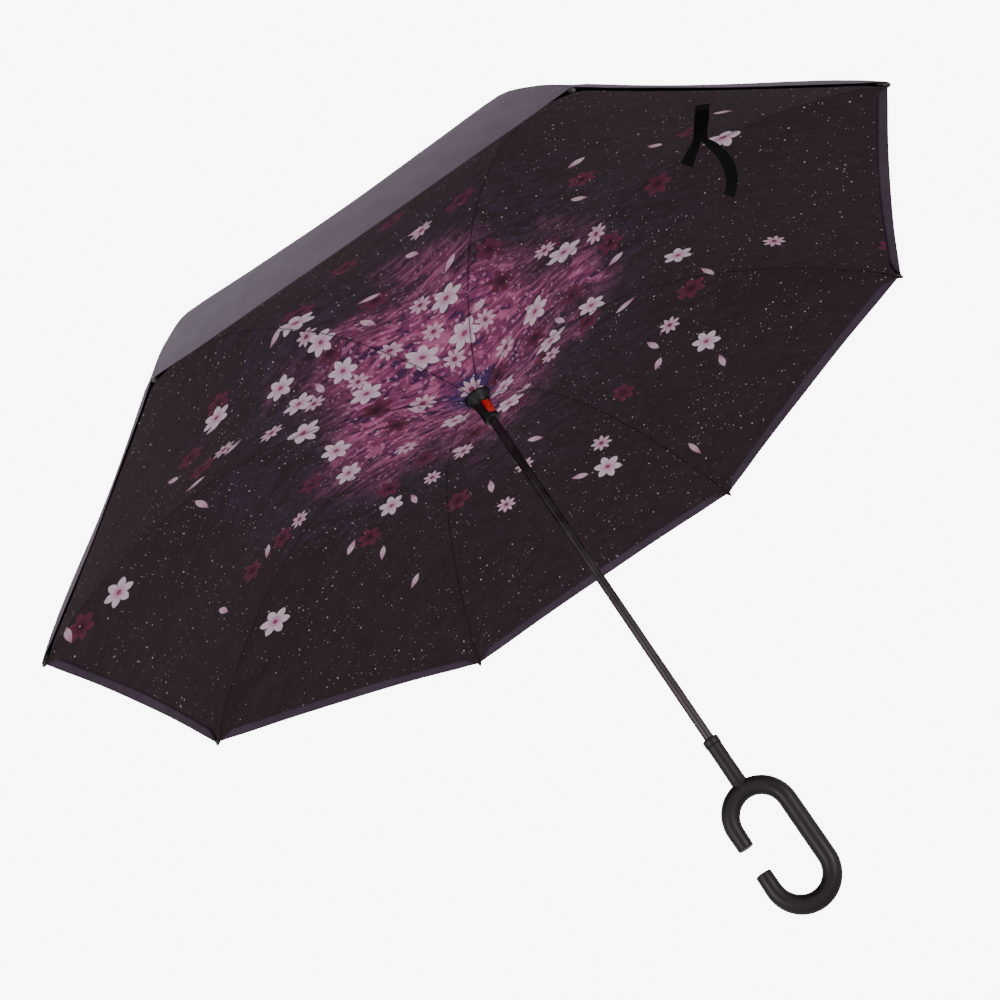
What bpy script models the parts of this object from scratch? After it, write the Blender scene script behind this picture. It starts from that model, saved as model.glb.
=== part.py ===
"""Inverted (reverse-folding) umbrella with a double canopy and a C-shaped handle.

Units are metres, +Z runs up the shaft from the handle to the crown. The origin is the middle of the
grip, on the shaft's axis. The umbrella is open, held on its latch.
"""

import math

import bmesh
import bpy
from mathutils import Matrix, Vector

# Frame of the whole umbrella
RIB_COUNT = 8
FIRST_RIB_TURN = math.radians(22.5)
HEM_RADIUS = 0.540
HEM_HEIGHT = 0.501
SEAT_GAP = 0.0003
CUT_OVERRUN = 0.004
BAR_CUT_DEPTH = 0.016
WELD = 0.000001

# Canopy: two layers of cloth, held apart by the ribs
CLOTH = 0.0004
OUTER_DOME_RISE = 0.166
OUTER_DOME_POWER = 4.3
OUTER_CONE_RISE = 0.010
OUTER_HEM_INSET = 0.0015
OUTER_HEM_SCALLOP_SHARE = 0.011
OUTER_HEM_DRAW_SHARE = 0.55
HEM_DRAW_REACH = 0.090
INNER_HUB_RISE = 0.083
INNER_ARCH_RISE = 0.0785
INNER_HEM_INSET = 0.017
GORE_SAG_SHARE = 0.030
STRIP_COLUMNS = 6
STRIP_ROWS = 10
OUTER_ROW_POWER = 1.35
CLOTH_SMOOTH = 60

# Shaft, its crown and the slotted notch that carries the stretchers
SHAFT_RADIUS = 0.005
SHAFT_WALL = 0.0008
SHAFT_SOCKET_DEPTH = 0.032
RUNNING_GAP = 0.0003
NOTCH_BELOW_CLOTH = 0.007
NOTCH_HEIGHT = 0.0100
CROWN_RADIUS = 0.0160
CROWN_RIM = 0.0022
CROWN_HEIGHT = 0.0200
CROWN_FACE_RADIUS = 0.0060
CROWN_SKIN = 0.0030
TURNED_SIDES = 32

# Hinge rings: a wire through the eyes of eight ribs or stretchers
PIVOT_RADIUS = 0.0115
WIRE_RADIUS = 0.0005
EYE_CLEARANCE = 0.00045
HEAD_RADIUS = 0.0140
GROOVE_DEPTH_PAST_WIRE = 0.0004
HEAD_SIDES = 40
EYE_STEPS = 7
WIRE_SIDES = 6
WIRE_STEPS = 24

# Runner with its flared collar
RUNNER_PIVOT_ABOVE_RIM = 0.0065
RUNNER_LENGTH = 0.0360
RUNNER_TUBE_RADIUS = 0.0083
RUNNER_RIM_RADIUS = 0.0144
RUNNER_RIM_EDGE = 0.0012
RUNNER_FLARE_POWER = 3.0
RUNNER_NECK_RADIUS = 0.0082
RUNNER_HEAD_HEIGHT = 0.0080
FLARE_STEPS = 6

# Push button and its sliding latch plate
BUTTON_TURN = math.radians(-57)
BUTTON_BELOW_RIM = 0.0220
BUTTON_WIDTH = 0.0086
BUTTON_HEIGHT = 0.0166
BUTTON_FACE_RADIUS = 0.0100
BUTTON_THICKNESS = 0.0020
BUTTON_EDGE = 0.0007
BUTTON_EDGE_STEPS = 2
BUTTON_TRAVEL = 0.0010
WINDOW_FLOOR_RADIUS = 0.0063
LATCH_ABOVE_BUTTON_MIDDLE = 0.0045
LATCH_THICKNESS = 0.0016
LATCH_RADIUS = 0.0066
LATCH_RING_STEPS = 25
LATCH_HOLE_STEPS = 13
LATCH_SLOT_WIDTH = 0.0040
LATCH_SLOT_HEIGHT = 0.0032
LEAF_THICKNESS = 0.00030
LEAF_WIDTH = 0.0034
LEAF_HALF_LENGTH = 0.0038
LEAF_STEPS = 9
LEAF_BELOW_BUTTON_MIDDLE = 0.0030

# Rib: a steel channel from the runner to past the stretcher, then a flexible rod
JOINT_RADIUS = 0.240
JOINT_RISE = 0.150
CHANNEL_WIDTH = 0.0046
CHANNEL_DEPTH = 0.0050
CHANNEL_WALL = 0.0005
CHANNEL_BOW = 0.008
CHANNEL_PAST_JOINT = 0.026
CHANNEL_STEPS = 5
RIVET_RADIUS = 0.0011
RIVET_STUB = 0.0005
ROD_RADIUS = 0.0015
ROD_IN_CHANNEL = 0.016
ROD_END_INSET = 0.004
ROD_SIDES_RESOLUTION = 2
ROD_TIP_RADIUS = 0.0011
ROD_MEETS_CLOTH_SHARE = 0.72
ROD_FREE_POINTS = 4
ROD_CLOTH_POINTS = 5
SLOPE_STEP_SHARE = 0.0001

# Tip cap on the end of each rod
TIP_RADIUS = 0.0022
TIP_LENGTH = 0.0135
TIP_BORE_DEPTH = 0.0070
TIP_NOSE_RADIUS = 0.0014
TIP_FACE_RADIUS = 0.0010
TIP_ROUNDING = 0.0008
TIP_TAPER_LENGTH = 0.0035
TIP_SIDES = 12

# Stretcher: a bar from the notch that ends in a fork astride the rib
STRETCHER_WIDTH = 0.0036
STRETCHER_DEPTH = 0.0040
STRETCHER_WALL = 0.0006
FORK_SHARE = 0.33
FORK_CHEEK = 0.0008
FORK_EYE_RADIUS = 0.0027
FORK_EYE_STEPS = 9
RIVET_HEAD = 0.0005
RIVET_HEAD_RADIUS = 0.0018
RIVET_SIDES = 10

# Handle: a C-shaped loop under a straight neck
NECK_TOP = 0.1220
NECK_RADIUS = 0.0078
COLLAR_HEIGHT = 0.0080
COLLAR_RADIUS = 0.0090
COLLAR_EDGE = 0.0010
GRIP_RADIUS = 0.0090
FILLET_RADIUS = 0.0084
FILLET_HEIGHT = 0.0081
FILLET_ROOT_RADIUS = 0.0086
NECK_SIDES = 24
LOOP_RADIUS = 0.0300
LOOP_HALF_STRAIGHT = 0.0320
LOOP_GAP = 0.0280
LOOP_ARC_STEPS = 12
GRIP_SIDES_RESOLUTION = 6

# Closing strap: a patch sewn to the inner layer, a ribbon hanging off it and its two tails.
# Each row is its middle across, its distance down and its width; directions are unit vectors.
STRAP_TURN = math.radians(317.5)
STRAP_ROOT_RADIUS = 0.438
STRAP_THICKNESS = 0.0010
STRAP_SEAT = 0.0015
STRAP_PATCH = 0.0090
STRAP_ACROSS = Vector((0.436, 0.745, -0.505))
STRAP_DOWN = Vector((-0.634, -0.143, -0.760))
STRAP_TRUNK = ((0.0, 0.0055, 0.0140), (-0.0010, 0.0150, 0.0130), (-0.0020, 0.0280, 0.0120))
STRAP_LEFT = ((-0.0060, 0.0355, 0.0085), (-0.0110, 0.0440, 0.0100), (-0.0140, 0.0530, 0.0120))
STRAP_RIGHT = (
    (0.0060, 0.0315, 0.0080),
    (0.0165, 0.0380, 0.0100),
    (0.0240, 0.0480, 0.0120),
    (0.0275, 0.0590, 0.0120),
    (0.0285, 0.0700, 0.0110),
    (0.0250, 0.0810, 0.0100),
)
STRAP_CURL = 0.0050

# What moves with each rib, and the point of the rod about which its end bends
RIB_RIDERS = ("rib_channel", "rib_rod", "outer_canopy", "inner_canopy")
SHARP_ANGLE = 35
ROD_FLEX_POINT = 3

# Places that follow from the sizes above
RIM_HEIGHT = HEM_HEIGHT + INNER_HUB_RISE
RUNNER_PIVOT_HEIGHT = RIM_HEIGHT + RUNNER_PIVOT_ABOVE_RIM
OUTER_TOP_HEIGHT = HEM_HEIGHT + OUTER_DOME_RISE + OUTER_CONE_RISE
NOTCH_PIVOT_HEIGHT = OUTER_TOP_HEIGHT - NOTCH_BELOW_CLOTH
JOINT_HEIGHT = HEM_HEIGHT + JOINT_RISE
CROWN_BASE_HEIGHT = OUTER_TOP_HEIGHT + CLOTH / 2 + SEAT_GAP
BUTTON_HEIGHT_MIDDLE = RIM_HEIGHT - BUTTON_BELOW_RIM
LATCH_HEIGHT = BUTTON_HEIGHT_MIDDLE + LATCH_ABOVE_BUTTON_MIDDLE
RIB_STEP = 2 * math.pi / RIB_COUNT
SLOT_WIDTH = CHANNEL_WIDTH + 2 * SEAT_GAP
SLOT_FLOOR_RADIUS = PIVOT_RADIUS - CHANNEL_DEPTH / 2 - SEAT_GAP
BORE_RADIUS = SHAFT_RADIUS + RUNNING_GAP
STRAP_RIB = round((STRAP_TURN - FIRST_RIB_TURN) / RIB_STEP)


def start_collections():
    """An empty scene with one collection for the parts and one for the cutters."""
    for old in list(bpy.data.objects):
        bpy.data.objects.remove(old, do_unlink=True)
    made = []
    for name in ("inverted_umbrella", "cutters"):
        collection = bpy.data.collections.new(name)
        bpy.context.scene.collection.children.link(collection)
        made.append(collection)
    return made


PARTS, CUTTERS = start_collections()


def material(name, colour, roughness, metallic=0.0):
    """A plain Principled material."""
    made = bpy.data.materials.new(name)
    made.use_nodes = True
    shader = made.node_tree.nodes["Principled BSDF"]
    shader.inputs["Base Color"].default_value = (*colour, 1.0)
    shader.inputs["Roughness"].default_value = roughness
    shader.inputs["Metallic"].default_value = metallic
    return made


OUTER_CLOTH = material("outer_cloth", (0.105, 0.085, 0.115), 0.75)
INNER_CLOTH = material("inner_cloth", (0.050, 0.020, 0.035), 0.70)
BLACK_STEEL = material("black_steel", (0.030, 0.028, 0.030), 0.35, 0.9)
ZINC_STEEL = material("zinc_steel", (0.450, 0.450, 0.460), 0.35, 1.0)
FIBREGLASS = material("fibreglass", (0.020, 0.020, 0.020), 0.45)
BLACK_PLASTIC = material("black_plastic", (0.018, 0.016, 0.018), 0.45)
SOFT_TOUCH = material("soft_touch", (0.026, 0.020, 0.021), 0.65)
RED_PLASTIC = material("red_plastic", (0.700, 0.060, 0.020), 0.35)
RIBBON = material("ribbon", (0.012, 0.010, 0.012), 0.80)


def add(name, mesh, finish, smooth=SHARP_ANGLE):
    """A named part from a mesh, shaded smooth up to an angle in degrees."""
    part = bpy.data.objects.new(name, mesh)
    PARTS.objects.link(part)
    finish_mesh(mesh, finish, smooth)
    return part


def finish_mesh(mesh, finish, smooth=SHARP_ANGLE):
    """Gives a mesh its material and smooth shading."""
    mesh.materials.append(finish)
    mesh.shade_smooth()
    mesh.set_sharp_from_angle(angle=math.radians(smooth))


def add_round(name, mesh, finish, smooth=SHARP_ANGLE):
    """One part on the turn of each rib, all with the same mesh."""
    finish_mesh(mesh, finish, smooth)
    for index in range(RIB_COUNT):
        part = bpy.data.objects.new(f"{name}_{index + 1}", mesh)
        PARTS.objects.link(part)
        part.rotation_euler = (0.0, 0.0, rib_turn(index))


def joint_axis(name, place, turn, riders, parent=None):
    """An empty on a joint's axis that carries the parts which move with it."""
    axis = bpy.data.objects.new(name, None)
    axis.empty_display_size = HEAD_RADIUS
    PARTS.objects.link(axis)
    axis.matrix_basis = Matrix.Translation(place) @ Matrix.Rotation(turn, 4, "Z")
    if parent:
        hang(axis, parent)
    bpy.context.view_layer.update()
    for rider in riders:
        hang(bpy.data.objects[rider], axis)
    return axis


def hang(rider, parent):
    """Parents an object and leaves it where it is."""
    rider.parent = parent
    rider.matrix_parent_inverse = parent.matrix_world.inverted()


def evaluated_mesh(source):
    """The mesh of an object with its modifiers or curve bevel, in its own frame."""
    bpy.context.view_layer.update()
    graph = bpy.context.evaluated_depsgraph_get()
    return bpy.data.meshes.new_from_object(source.evaluated_get(graph))


def baked(source):
    """Turns an object into its plain evaluated mesh, caps welded, and removes the object."""
    mesh = evaluated_mesh(source)
    work = bmesh.new()
    work.from_mesh(mesh)
    bmesh.ops.remove_doubles(work, verts=work.verts, dist=WELD)
    bmesh.ops.recalc_face_normals(work, faces=work.faces)
    work.to_mesh(mesh)
    work.free()
    bpy.data.objects.remove(source, do_unlink=True)
    return mesh


def helper(mesh_or_curve):
    """An object that only serves to build others."""
    made = bpy.data.objects.new("guide", mesh_or_curve)
    CUTTERS.objects.link(made)
    made.hide_render = True
    made.display_type = "WIRE"
    return made


def box_mesh(size, middle):
    """A box of a size about its middle."""
    mesh = bpy.data.meshes.new("box")
    work = bmesh.new()
    bmesh.ops.create_cube(work, size=1.0)
    bmesh.ops.scale(work, vec=size, verts=work.verts)
    bmesh.ops.translate(work, vec=middle, verts=work.verts)
    work.to_mesh(mesh)
    work.free()
    return mesh


def rod_mesh(radius, length, middle, axis, sides):
    """A round bar along one axis."""
    mesh = bpy.data.meshes.new("bar")
    work = bmesh.new()
    bmesh.ops.create_cone(
        work, cap_ends=True, segments=sides, radius1=radius, radius2=radius, depth=length
    )
    turn = {"X": Matrix.Rotation(math.pi / 2, 4, "Y"), "Y": Matrix.Rotation(math.pi / 2, 4, "X")}
    if axis in turn:
        bmesh.ops.transform(work, matrix=turn[axis], verts=work.verts)
    bmesh.ops.translate(work, vec=middle, verts=work.verts)
    work.to_mesh(mesh)
    work.free()
    return mesh


def turned_mesh(outline, sides):
    """A solid of revolution about Z from (radius, height) points that run down its outer side."""
    mesh = bpy.data.meshes.new("outline")
    closed = outline[0][0] > 0
    edges = [(i, i + 1) for i in range(len(outline) - 1)]
    if closed:
        edges.append((len(outline) - 1, 0))
    mesh.from_pydata([(r, 0.0, z) for r, z in outline], edges, [])
    source = helper(mesh)
    screw = source.modifiers.new("turn", "SCREW")
    screw.axis = "Z"
    screw.steps = sides
    screw.render_steps = sides
    screw.use_merge_vertices = True
    screw.merge_threshold = WELD
    return baked(source)


def flat_mesh(loops, thickness):
    """A flat plate from closed outlines in XY, the first the edge and the others holes."""
    curve = bpy.data.curves.new("outline", "CURVE")
    curve.dimensions = "2D"
    curve.fill_mode = "BOTH"
    curve.extrude = thickness / 2
    curve.resolution_u = 1
    for points in loops:
        spline = curve.splines.new("POLY")
        spline.points.add(len(points) - 1)
        for point, (x, y) in zip(spline.points, points):
            point.co = (x, y, 0.0, 1.0)
        spline.use_cyclic_u = True
    return baked(helper(curve))


def tube_mesh(points, radius, sides_resolution, radii=None):
    """A round tube with closed ends along points."""
    curve = bpy.data.curves.new("path", "CURVE")
    curve.dimensions = "3D"
    curve.bevel_depth = radius
    curve.bevel_resolution = sides_resolution
    curve.use_fill_caps = True
    spline = curve.splines.new("POLY")
    spline.points.add(len(points) - 1)
    for i, (point, place) in enumerate(zip(spline.points, points)):
        point.co = (*place, 1.0)
        point.radius = radii[i] / radius if radii else 1.0
    return baked(helper(curve))


def combined(base_mesh, tool_mesh, operation):
    """One mesh from two by a Boolean."""
    base = helper(base_mesh)
    tool = helper(tool_mesh)
    boolean = base.modifiers.new("combine", "BOOLEAN")
    boolean.operation = operation
    boolean.solver = "EXACT"
    boolean.object = tool
    mesh = evaluated_mesh(base)
    for used in (base, tool):
        bpy.data.objects.remove(used, do_unlink=True)
    return mesh


def joined(meshes):
    """Separate closed shapes in one mesh, for use as a cutter or as Boolean input."""
    work = bmesh.new()
    for mesh in meshes:
        work.from_mesh(mesh)
    mesh = bpy.data.meshes.new("joined")
    work.to_mesh(mesh)
    work.free()
    return mesh


def circle(radius, steps, middle=(0.0, 0.0), start=0.0, sweep=2 * math.pi, ends=False):
    """Points on an arc; with ends, both end points are kept."""
    last = steps if not ends else steps - 1
    return [
        (
            middle[0] + radius * math.cos(start + sweep * i / last),
            middle[1] + radius * math.sin(start + sweep * i / last),
        )
        for i in range(steps)
    ]


def rib_turn(index):
    """Turn of a rib about the shaft, counted from zero."""
    return FIRST_RIB_TURN + index * RIB_STEP


# Canopy surfaces


def outer_rise(share):
    """Height of the outer layer over the hem plane along a rib."""
    return OUTER_DOME_RISE * (1 - share**OUTER_DOME_POWER) + OUTER_CONE_RISE * (1 - share)


def inner_rise(share):
    """Height of the inner layer over the hem plane along a rib."""
    return INNER_HUB_RISE * (1 - share) + 4 * INNER_ARCH_RISE * share * (1 - share)


def along_chord(rib_radius, angle):
    """Distance from the axis of a point on the straight line between two ribs at one radius."""
    return rib_radius * math.cos(RIB_STEP / 2) / math.cos(RIB_STEP / 2 - abs(angle))


def cloth_height(rise, flat_radius, rib_radius, angle):
    """Height of a layer at an angle off the nearest rib, on the line met by rib_radius there."""
    share = max(0.0, (rib_radius - flat_radius) / (HEM_RADIUS - flat_radius))
    sag = GORE_SAG_SHARE * rib_radius * math.sin(abs(angle) * math.pi / RIB_STEP) ** 2
    sag *= math.sin(min(1.0, share) * math.pi) ** 2
    return HEM_HEIGHT + rise(share) - sag


def between_ribs(across):
    """How far a point is drawn in by the hem: 0 at the rib, 1 in the middle of the gore."""
    return abs(across) * (2 - abs(across))


def hem_draw(rise, hem_share, inward, across):
    """How far the hem's pull between two tips lowers a layer at a distance inward of it."""
    near = max(0.0, 1 - inward / HEM_DRAW_REACH)
    return rise(hem_share) * near * near * (3 - 2 * near) * between_ribs(across)


def canopy_mesh(
    rise, first_radius, flat_radius, hem_radius, scallop_share=0.0, draw_share=0.0, power=1.0
):
    """One eighth of a layer, from the middle of one gore to the middle of the next, rib along +X.

    Cloth runs straight from rib to rib with a slight sag and lies flat over the clamp at the
    middle, where its edge is round. Its hem is drawn in and down between two tips. A power over
    one crowds the rows toward the hem.
    """
    half = RIB_STEP / 2
    mesh = bpy.data.meshes.new("cloth")
    work = bmesh.new()
    bmesh.ops.create_grid(work, x_segments=STRIP_ROWS, y_segments=STRIP_COLUMNS, size=1.0)
    for vertex in work.verts:
        along = (vertex.co.x + 1) / 2
        across = vertex.co.y
        step = 1 / STRIP_ROWS
        last = hem_radius * (1 - scallop_share * between_ribs(across))
        if along < step * 1.5:
            rib_radius = first_radius + (flat_radius - first_radius) * along / step
        else:
            out = 1 - max(0.0, 1 - (along - step) / (1 - step)) ** power
            rib_radius = flat_radius + (last - flat_radius) * out
        angle = across * half
        radius = rib_radius
        if along > step / 2:
            radius = along_chord(rib_radius, angle)
        side = radius * math.sin(angle) - across * SEAT_GAP / 2
        height = cloth_height(rise, flat_radius, rib_radius, angle)
        hem_share = (last - flat_radius) / (HEM_RADIUS - flat_radius)
        height -= draw_share * hem_draw(rise, hem_share, last - rib_radius, across)
        vertex.co = Vector((radius * math.cos(angle), side, height))
    bmesh.ops.recalc_face_normals(work, faces=work.faces)
    work.to_mesh(mesh)
    work.free()
    source = helper(mesh)
    thicken = source.modifiers.new("cloth", "SOLIDIFY")
    thicken.thickness = CLOTH
    thicken.offset = 0.0
    return baked(source)


def build_canopies():
    outer = canopy_mesh(
        outer_rise,
        SHAFT_RADIUS + SEAT_GAP,
        CROWN_RADIUS,
        HEM_RADIUS - OUTER_HEM_INSET,
        OUTER_HEM_SCALLOP_SHARE,
        OUTER_HEM_DRAW_SHARE,
        OUTER_ROW_POWER,
    )
    add_round("outer_canopy", outer, OUTER_CLOTH, CLOTH_SMOOTH)
    inner = canopy_mesh(
        inner_rise,
        RUNNER_NECK_RADIUS + SEAT_GAP,
        RUNNER_RIM_RADIUS,
        HEM_RADIUS - INNER_HEM_INSET,
    )
    add_round("inner_canopy", inner, INNER_CLOTH, CLOTH_SMOOTH)


# Shaft, crown and the two slotted hinge heads


def build_shaft():
    top = CROWN_BASE_HEIGHT + CROWN_HEIGHT - CROWN_SKIN - SEAT_GAP
    bottom = NECK_TOP - SHAFT_SOCKET_DEPTH
    inside = SHAFT_RADIUS - SHAFT_WALL
    tube = turned_mesh(
        [(SHAFT_RADIUS, top), (SHAFT_RADIUS, bottom), (inside, bottom), (inside, top)], TURNED_SIDES
    )
    reach = SHAFT_RADIUS + CUT_OVERRUN
    slot = box_mesh(
        (reach, LATCH_SLOT_WIDTH, LATCH_SLOT_HEIGHT), (-reach / 2, 0.0, LATCH_HEIGHT)
    )
    slot.transform(Matrix.Rotation(BUTTON_TURN, 4, "Z"))
    add("shaft_tube", combined(tube, slot, "DIFFERENCE"), BLACK_STEEL)


def build_crown_cap():
    base = CROWN_BASE_HEIGHT
    top = base + CROWN_HEIGHT
    dome = [
        (
            CROWN_FACE_RADIUS + (CROWN_RADIUS - CROWN_FACE_RADIUS) * math.sin(t),
            base + CROWN_RIM + (CROWN_HEIGHT - CROWN_RIM) * math.cos(t),
        )
        for t in [math.pi / 2 * i / FLARE_STEPS for i in range(FLARE_STEPS + 1)]
    ]
    ceiling = top - CROWN_SKIN
    outline = [(0.0, top)] + dome + [(CROWN_RADIUS, base), (BORE_RADIUS, base)]
    outline += [(BORE_RADIUS, ceiling), (0.0, ceiling)]
    add("crown_cap", turned_mesh(outline, TURNED_SIDES), BLACK_PLASTIC)


def head_outline(pivot, bottom, top):
    """Outer side of a hinge head from its top edge to its bottom edge, with the wire's groove."""
    half = WIRE_RADIUS + SEAT_GAP
    floor = PIVOT_RADIUS - WIRE_RADIUS - GROOVE_DEPTH_PAST_WIRE
    return [
        (HEAD_RADIUS, top),
        (HEAD_RADIUS, pivot + half),
        (floor, pivot + half),
        (floor, pivot - half),
        (HEAD_RADIUS, pivot - half),
        (HEAD_RADIUS, bottom),
    ]


def slot_cutter(bottom, top):
    """Eight radial slots for the eyes of the ribs or stretchers."""
    length = HEAD_RADIUS + CUT_OVERRUN - SLOT_FLOOR_RADIUS
    middle = SLOT_FLOOR_RADIUS + length / 2
    slots = []
    for index in range(RIB_COUNT):
        slot = box_mesh((length, SLOT_WIDTH, top - bottom), (middle, 0.0, (top + bottom) / 2))
        slot.transform(Matrix.Rotation(rib_turn(index), 4, "Z"))
        slots.append(slot)
    return joined(slots)


def build_notch():
    top = OUTER_TOP_HEIGHT - CLOTH / 2 - SEAT_GAP
    bottom = top - NOTCH_HEIGHT
    outline = head_outline(NOTCH_PIVOT_HEIGHT, bottom, top)
    outline += [(BORE_RADIUS, bottom), (BORE_RADIUS, top)]
    slots = slot_cutter(bottom - CUT_OVERRUN, top - CROWN_RIM)
    add("top_notch", combined(turned_mesh(outline, HEAD_SIDES), slots, "DIFFERENCE"), BLACK_PLASTIC)


def flare_radius(share):
    """Radius of the runner's collar, share 0 at its lower end and 1 at the rim."""
    return RUNNER_TUBE_RADIUS + (RUNNER_RIM_RADIUS - RUNNER_TUBE_RADIUS) * (
        share**RUNNER_FLARE_POWER
    )


def build_runner():
    rim = RIM_HEIGHT - CLOTH / 2 - SEAT_GAP
    head_bottom = RIM_HEIGHT + CLOTH / 2 + SEAT_GAP
    head_top = RUNNER_PIVOT_HEIGHT + RUNNER_HEAD_HEIGHT / 2
    bottom = RIM_HEIGHT - RUNNER_LENGTH
    flare = []
    for i in range(FLARE_STEPS + 1):
        share = 1 - i / FLARE_STEPS
        height = bottom + (rim - RUNNER_RIM_EDGE - bottom) * share
        flare.append((flare_radius(share), height))
    latch_half = LATCH_THICKNESS / 2 + SEAT_GAP
    cave = LATCH_RADIUS + BUTTON_TRAVEL + SEAT_GAP
    outline = head_outline(RUNNER_PIVOT_HEIGHT, head_bottom, head_top)
    outline += [(RUNNER_NECK_RADIUS, head_bottom), (RUNNER_NECK_RADIUS, rim)]
    outline += [(RUNNER_RIM_RADIUS, rim)] + flare
    outline += [
        (BORE_RADIUS, bottom),
        (BORE_RADIUS, LATCH_HEIGHT - latch_half),
        (cave, LATCH_HEIGHT - latch_half),
        (cave, LATCH_HEIGHT + latch_half),
        (BORE_RADIUS, LATCH_HEIGHT + latch_half),
        (BORE_RADIUS, head_top),
    ]
    slots = slot_cutter(head_bottom + SEAT_GAP, head_top + CUT_OVERRUN)
    body = combined(turned_mesh(outline, HEAD_SIDES), slots, "DIFFERENCE")
    reach = RUNNER_RIM_RADIUS - WINDOW_FLOOR_RADIUS
    window = box_mesh(
        (reach, BUTTON_WIDTH + 2 * SEAT_GAP, BUTTON_HEIGHT + 2 * SEAT_GAP),
        (WINDOW_FLOOR_RADIUS + reach / 2, 0.0, BUTTON_HEIGHT_MIDDLE),
    )
    window.transform(Matrix.Rotation(BUTTON_TURN, 4, "Z"))
    add("runner", combined(body, window, "DIFFERENCE"), BLACK_PLASTIC)


def build_wires():
    for name, height in (("notch_wire", NOTCH_PIVOT_HEIGHT), ("runner_wire", RUNNER_PIVOT_HEIGHT)):
        ring = turned_mesh(
            [
                (r, height + z)
                for r, z in reversed(circle(WIRE_RADIUS, WIRE_SIDES, (PIVOT_RADIUS, 0.0)))
            ],
            WIRE_STEPS,
        )
        add(name, ring, ZINC_STEEL)


# Push button


def build_button():
    """Button head with the latch plate that rings the shaft, on local +X, turned into place."""
    back = BUTTON_FACE_RADIUS - BUTTON_THICKNESS
    head = helper(
        box_mesh(
            (BUTTON_THICKNESS, BUTTON_WIDTH, BUTTON_HEIGHT),
            ((BUTTON_FACE_RADIUS + back) / 2, 0.0, BUTTON_HEIGHT_MIDDLE),
        )
    )
    edge = head.modifiers.new("edge", "BEVEL")
    edge.width = BUTTON_EDGE
    edge.segments = BUTTON_EDGE_STEPS
    head_mesh = baked(head)
    tongue_half = BUTTON_WIDTH / 2 - BUTTON_EDGE
    corner = math.asin(tongue_half / LATCH_RADIUS)
    reach = back + BUTTON_THICKNESS / 2
    sweep = 2 * math.pi - 2 * corner
    ring = circle(LATCH_RADIUS, LATCH_RING_STEPS, start=corner, sweep=sweep, ends=True)
    edge_points = ring + [(reach, -tongue_half), (reach, tongue_half)]
    steps = LATCH_HOLE_STEPS
    quarter = math.pi / 2
    hole = circle(BORE_RADIUS, steps, start=quarter, sweep=math.pi, ends=True)
    hole += circle(BORE_RADIUS, steps, (BUTTON_TRAVEL, 0.0), -quarter, math.pi, True)
    plate = flat_mesh([edge_points, hole], LATCH_THICKNESS)
    plate.transform(Matrix.Translation((0.0, 0.0, LATCH_HEIGHT)))
    mesh = combined(head_mesh, plate, "UNION")
    button = add("push_button", mesh, RED_PLASTIC)
    button.rotation_euler = (0.0, 0.0, BUTTON_TURN)


def build_button_spring():
    """A bowed leaf between the window's floor and the back of the button."""
    floor = WINDOW_FLOOR_RADIUS + SEAT_GAP
    crest = BUTTON_FACE_RADIUS - BUTTON_THICKNESS - SEAT_GAP
    bow = crest - floor - LEAF_THICKNESS
    steps = LEAF_STEPS
    line = []
    for i in range(steps):
        along = -1 + 2 * i / (steps - 1)
        line.append((floor + bow * (1 - along * along), along * LEAF_HALF_LENGTH))
    edge_points = line + [(x + LEAF_THICKNESS, y) for x, y in reversed(line)]
    mesh = flat_mesh([edge_points], LEAF_WIDTH)
    mesh.transform(Matrix.Rotation(math.pi / 2, 4, "X"))
    height = BUTTON_HEIGHT_MIDDLE - LEAF_BELOW_BUTTON_MIDDLE
    mesh.transform(Matrix.Translation((0.0, 0.0, height)))
    leaf = add("button_spring", mesh, ZINC_STEEL)
    leaf.rotation_euler = (0.0, 0.0, BUTTON_TURN)


# Ribs and stretchers, each drawn in its own plane with +X outward and +Z up


def bar_points(start, end, bow, steps, overshoot=0.0):
    """Centre line of a bar from start to end, bowed upward, and past the end by overshoot."""
    span = math.dist(start, end)
    reach = 1 + overshoot / span
    line = []
    for i in range(steps + 1):
        share = reach * i / steps
        x = start[0] + (end[0] - start[0]) * share
        z = start[1] + (end[1] - start[1]) * share
        line.append((x, z + 4 * bow * share * (1 - share)))
    return line


def normals(line):
    """Unit vectors square to a line in its plane, pointing up."""
    found = []
    for i in range(len(line)):
        before = line[max(0, i - 1)]
        after = line[min(len(line) - 1, i + 1)]
        run = math.dist(before, after)
        found.append((-(after[1] - before[1]) / run, (after[0] - before[0]) / run))
    return found


def band(line, below, above):
    """Outline of a bar: its lower edge outward, then its upper edge back."""
    up = normals(line)
    lower = [(x - n[0] * below, z - n[1] * below) for (x, z), n in zip(line, up)]
    upper = [(x + n[0] * above, z + n[1] * above) for (x, z), n in zip(line, up)]
    return lower + upper[::-1]


def upright(mesh):
    """Turns a plate drawn in XY into the XZ plane."""
    mesh.transform(Matrix.Rotation(math.pi / 2, 4, "X"))
    return mesh


RIB_LINE = bar_points(
    (PIVOT_RADIUS, RUNNER_PIVOT_HEIGHT),
    (JOINT_RADIUS, JOINT_HEIGHT),
    CHANNEL_BOW,
    CHANNEL_STEPS,
    CHANNEL_PAST_JOINT,
)


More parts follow.
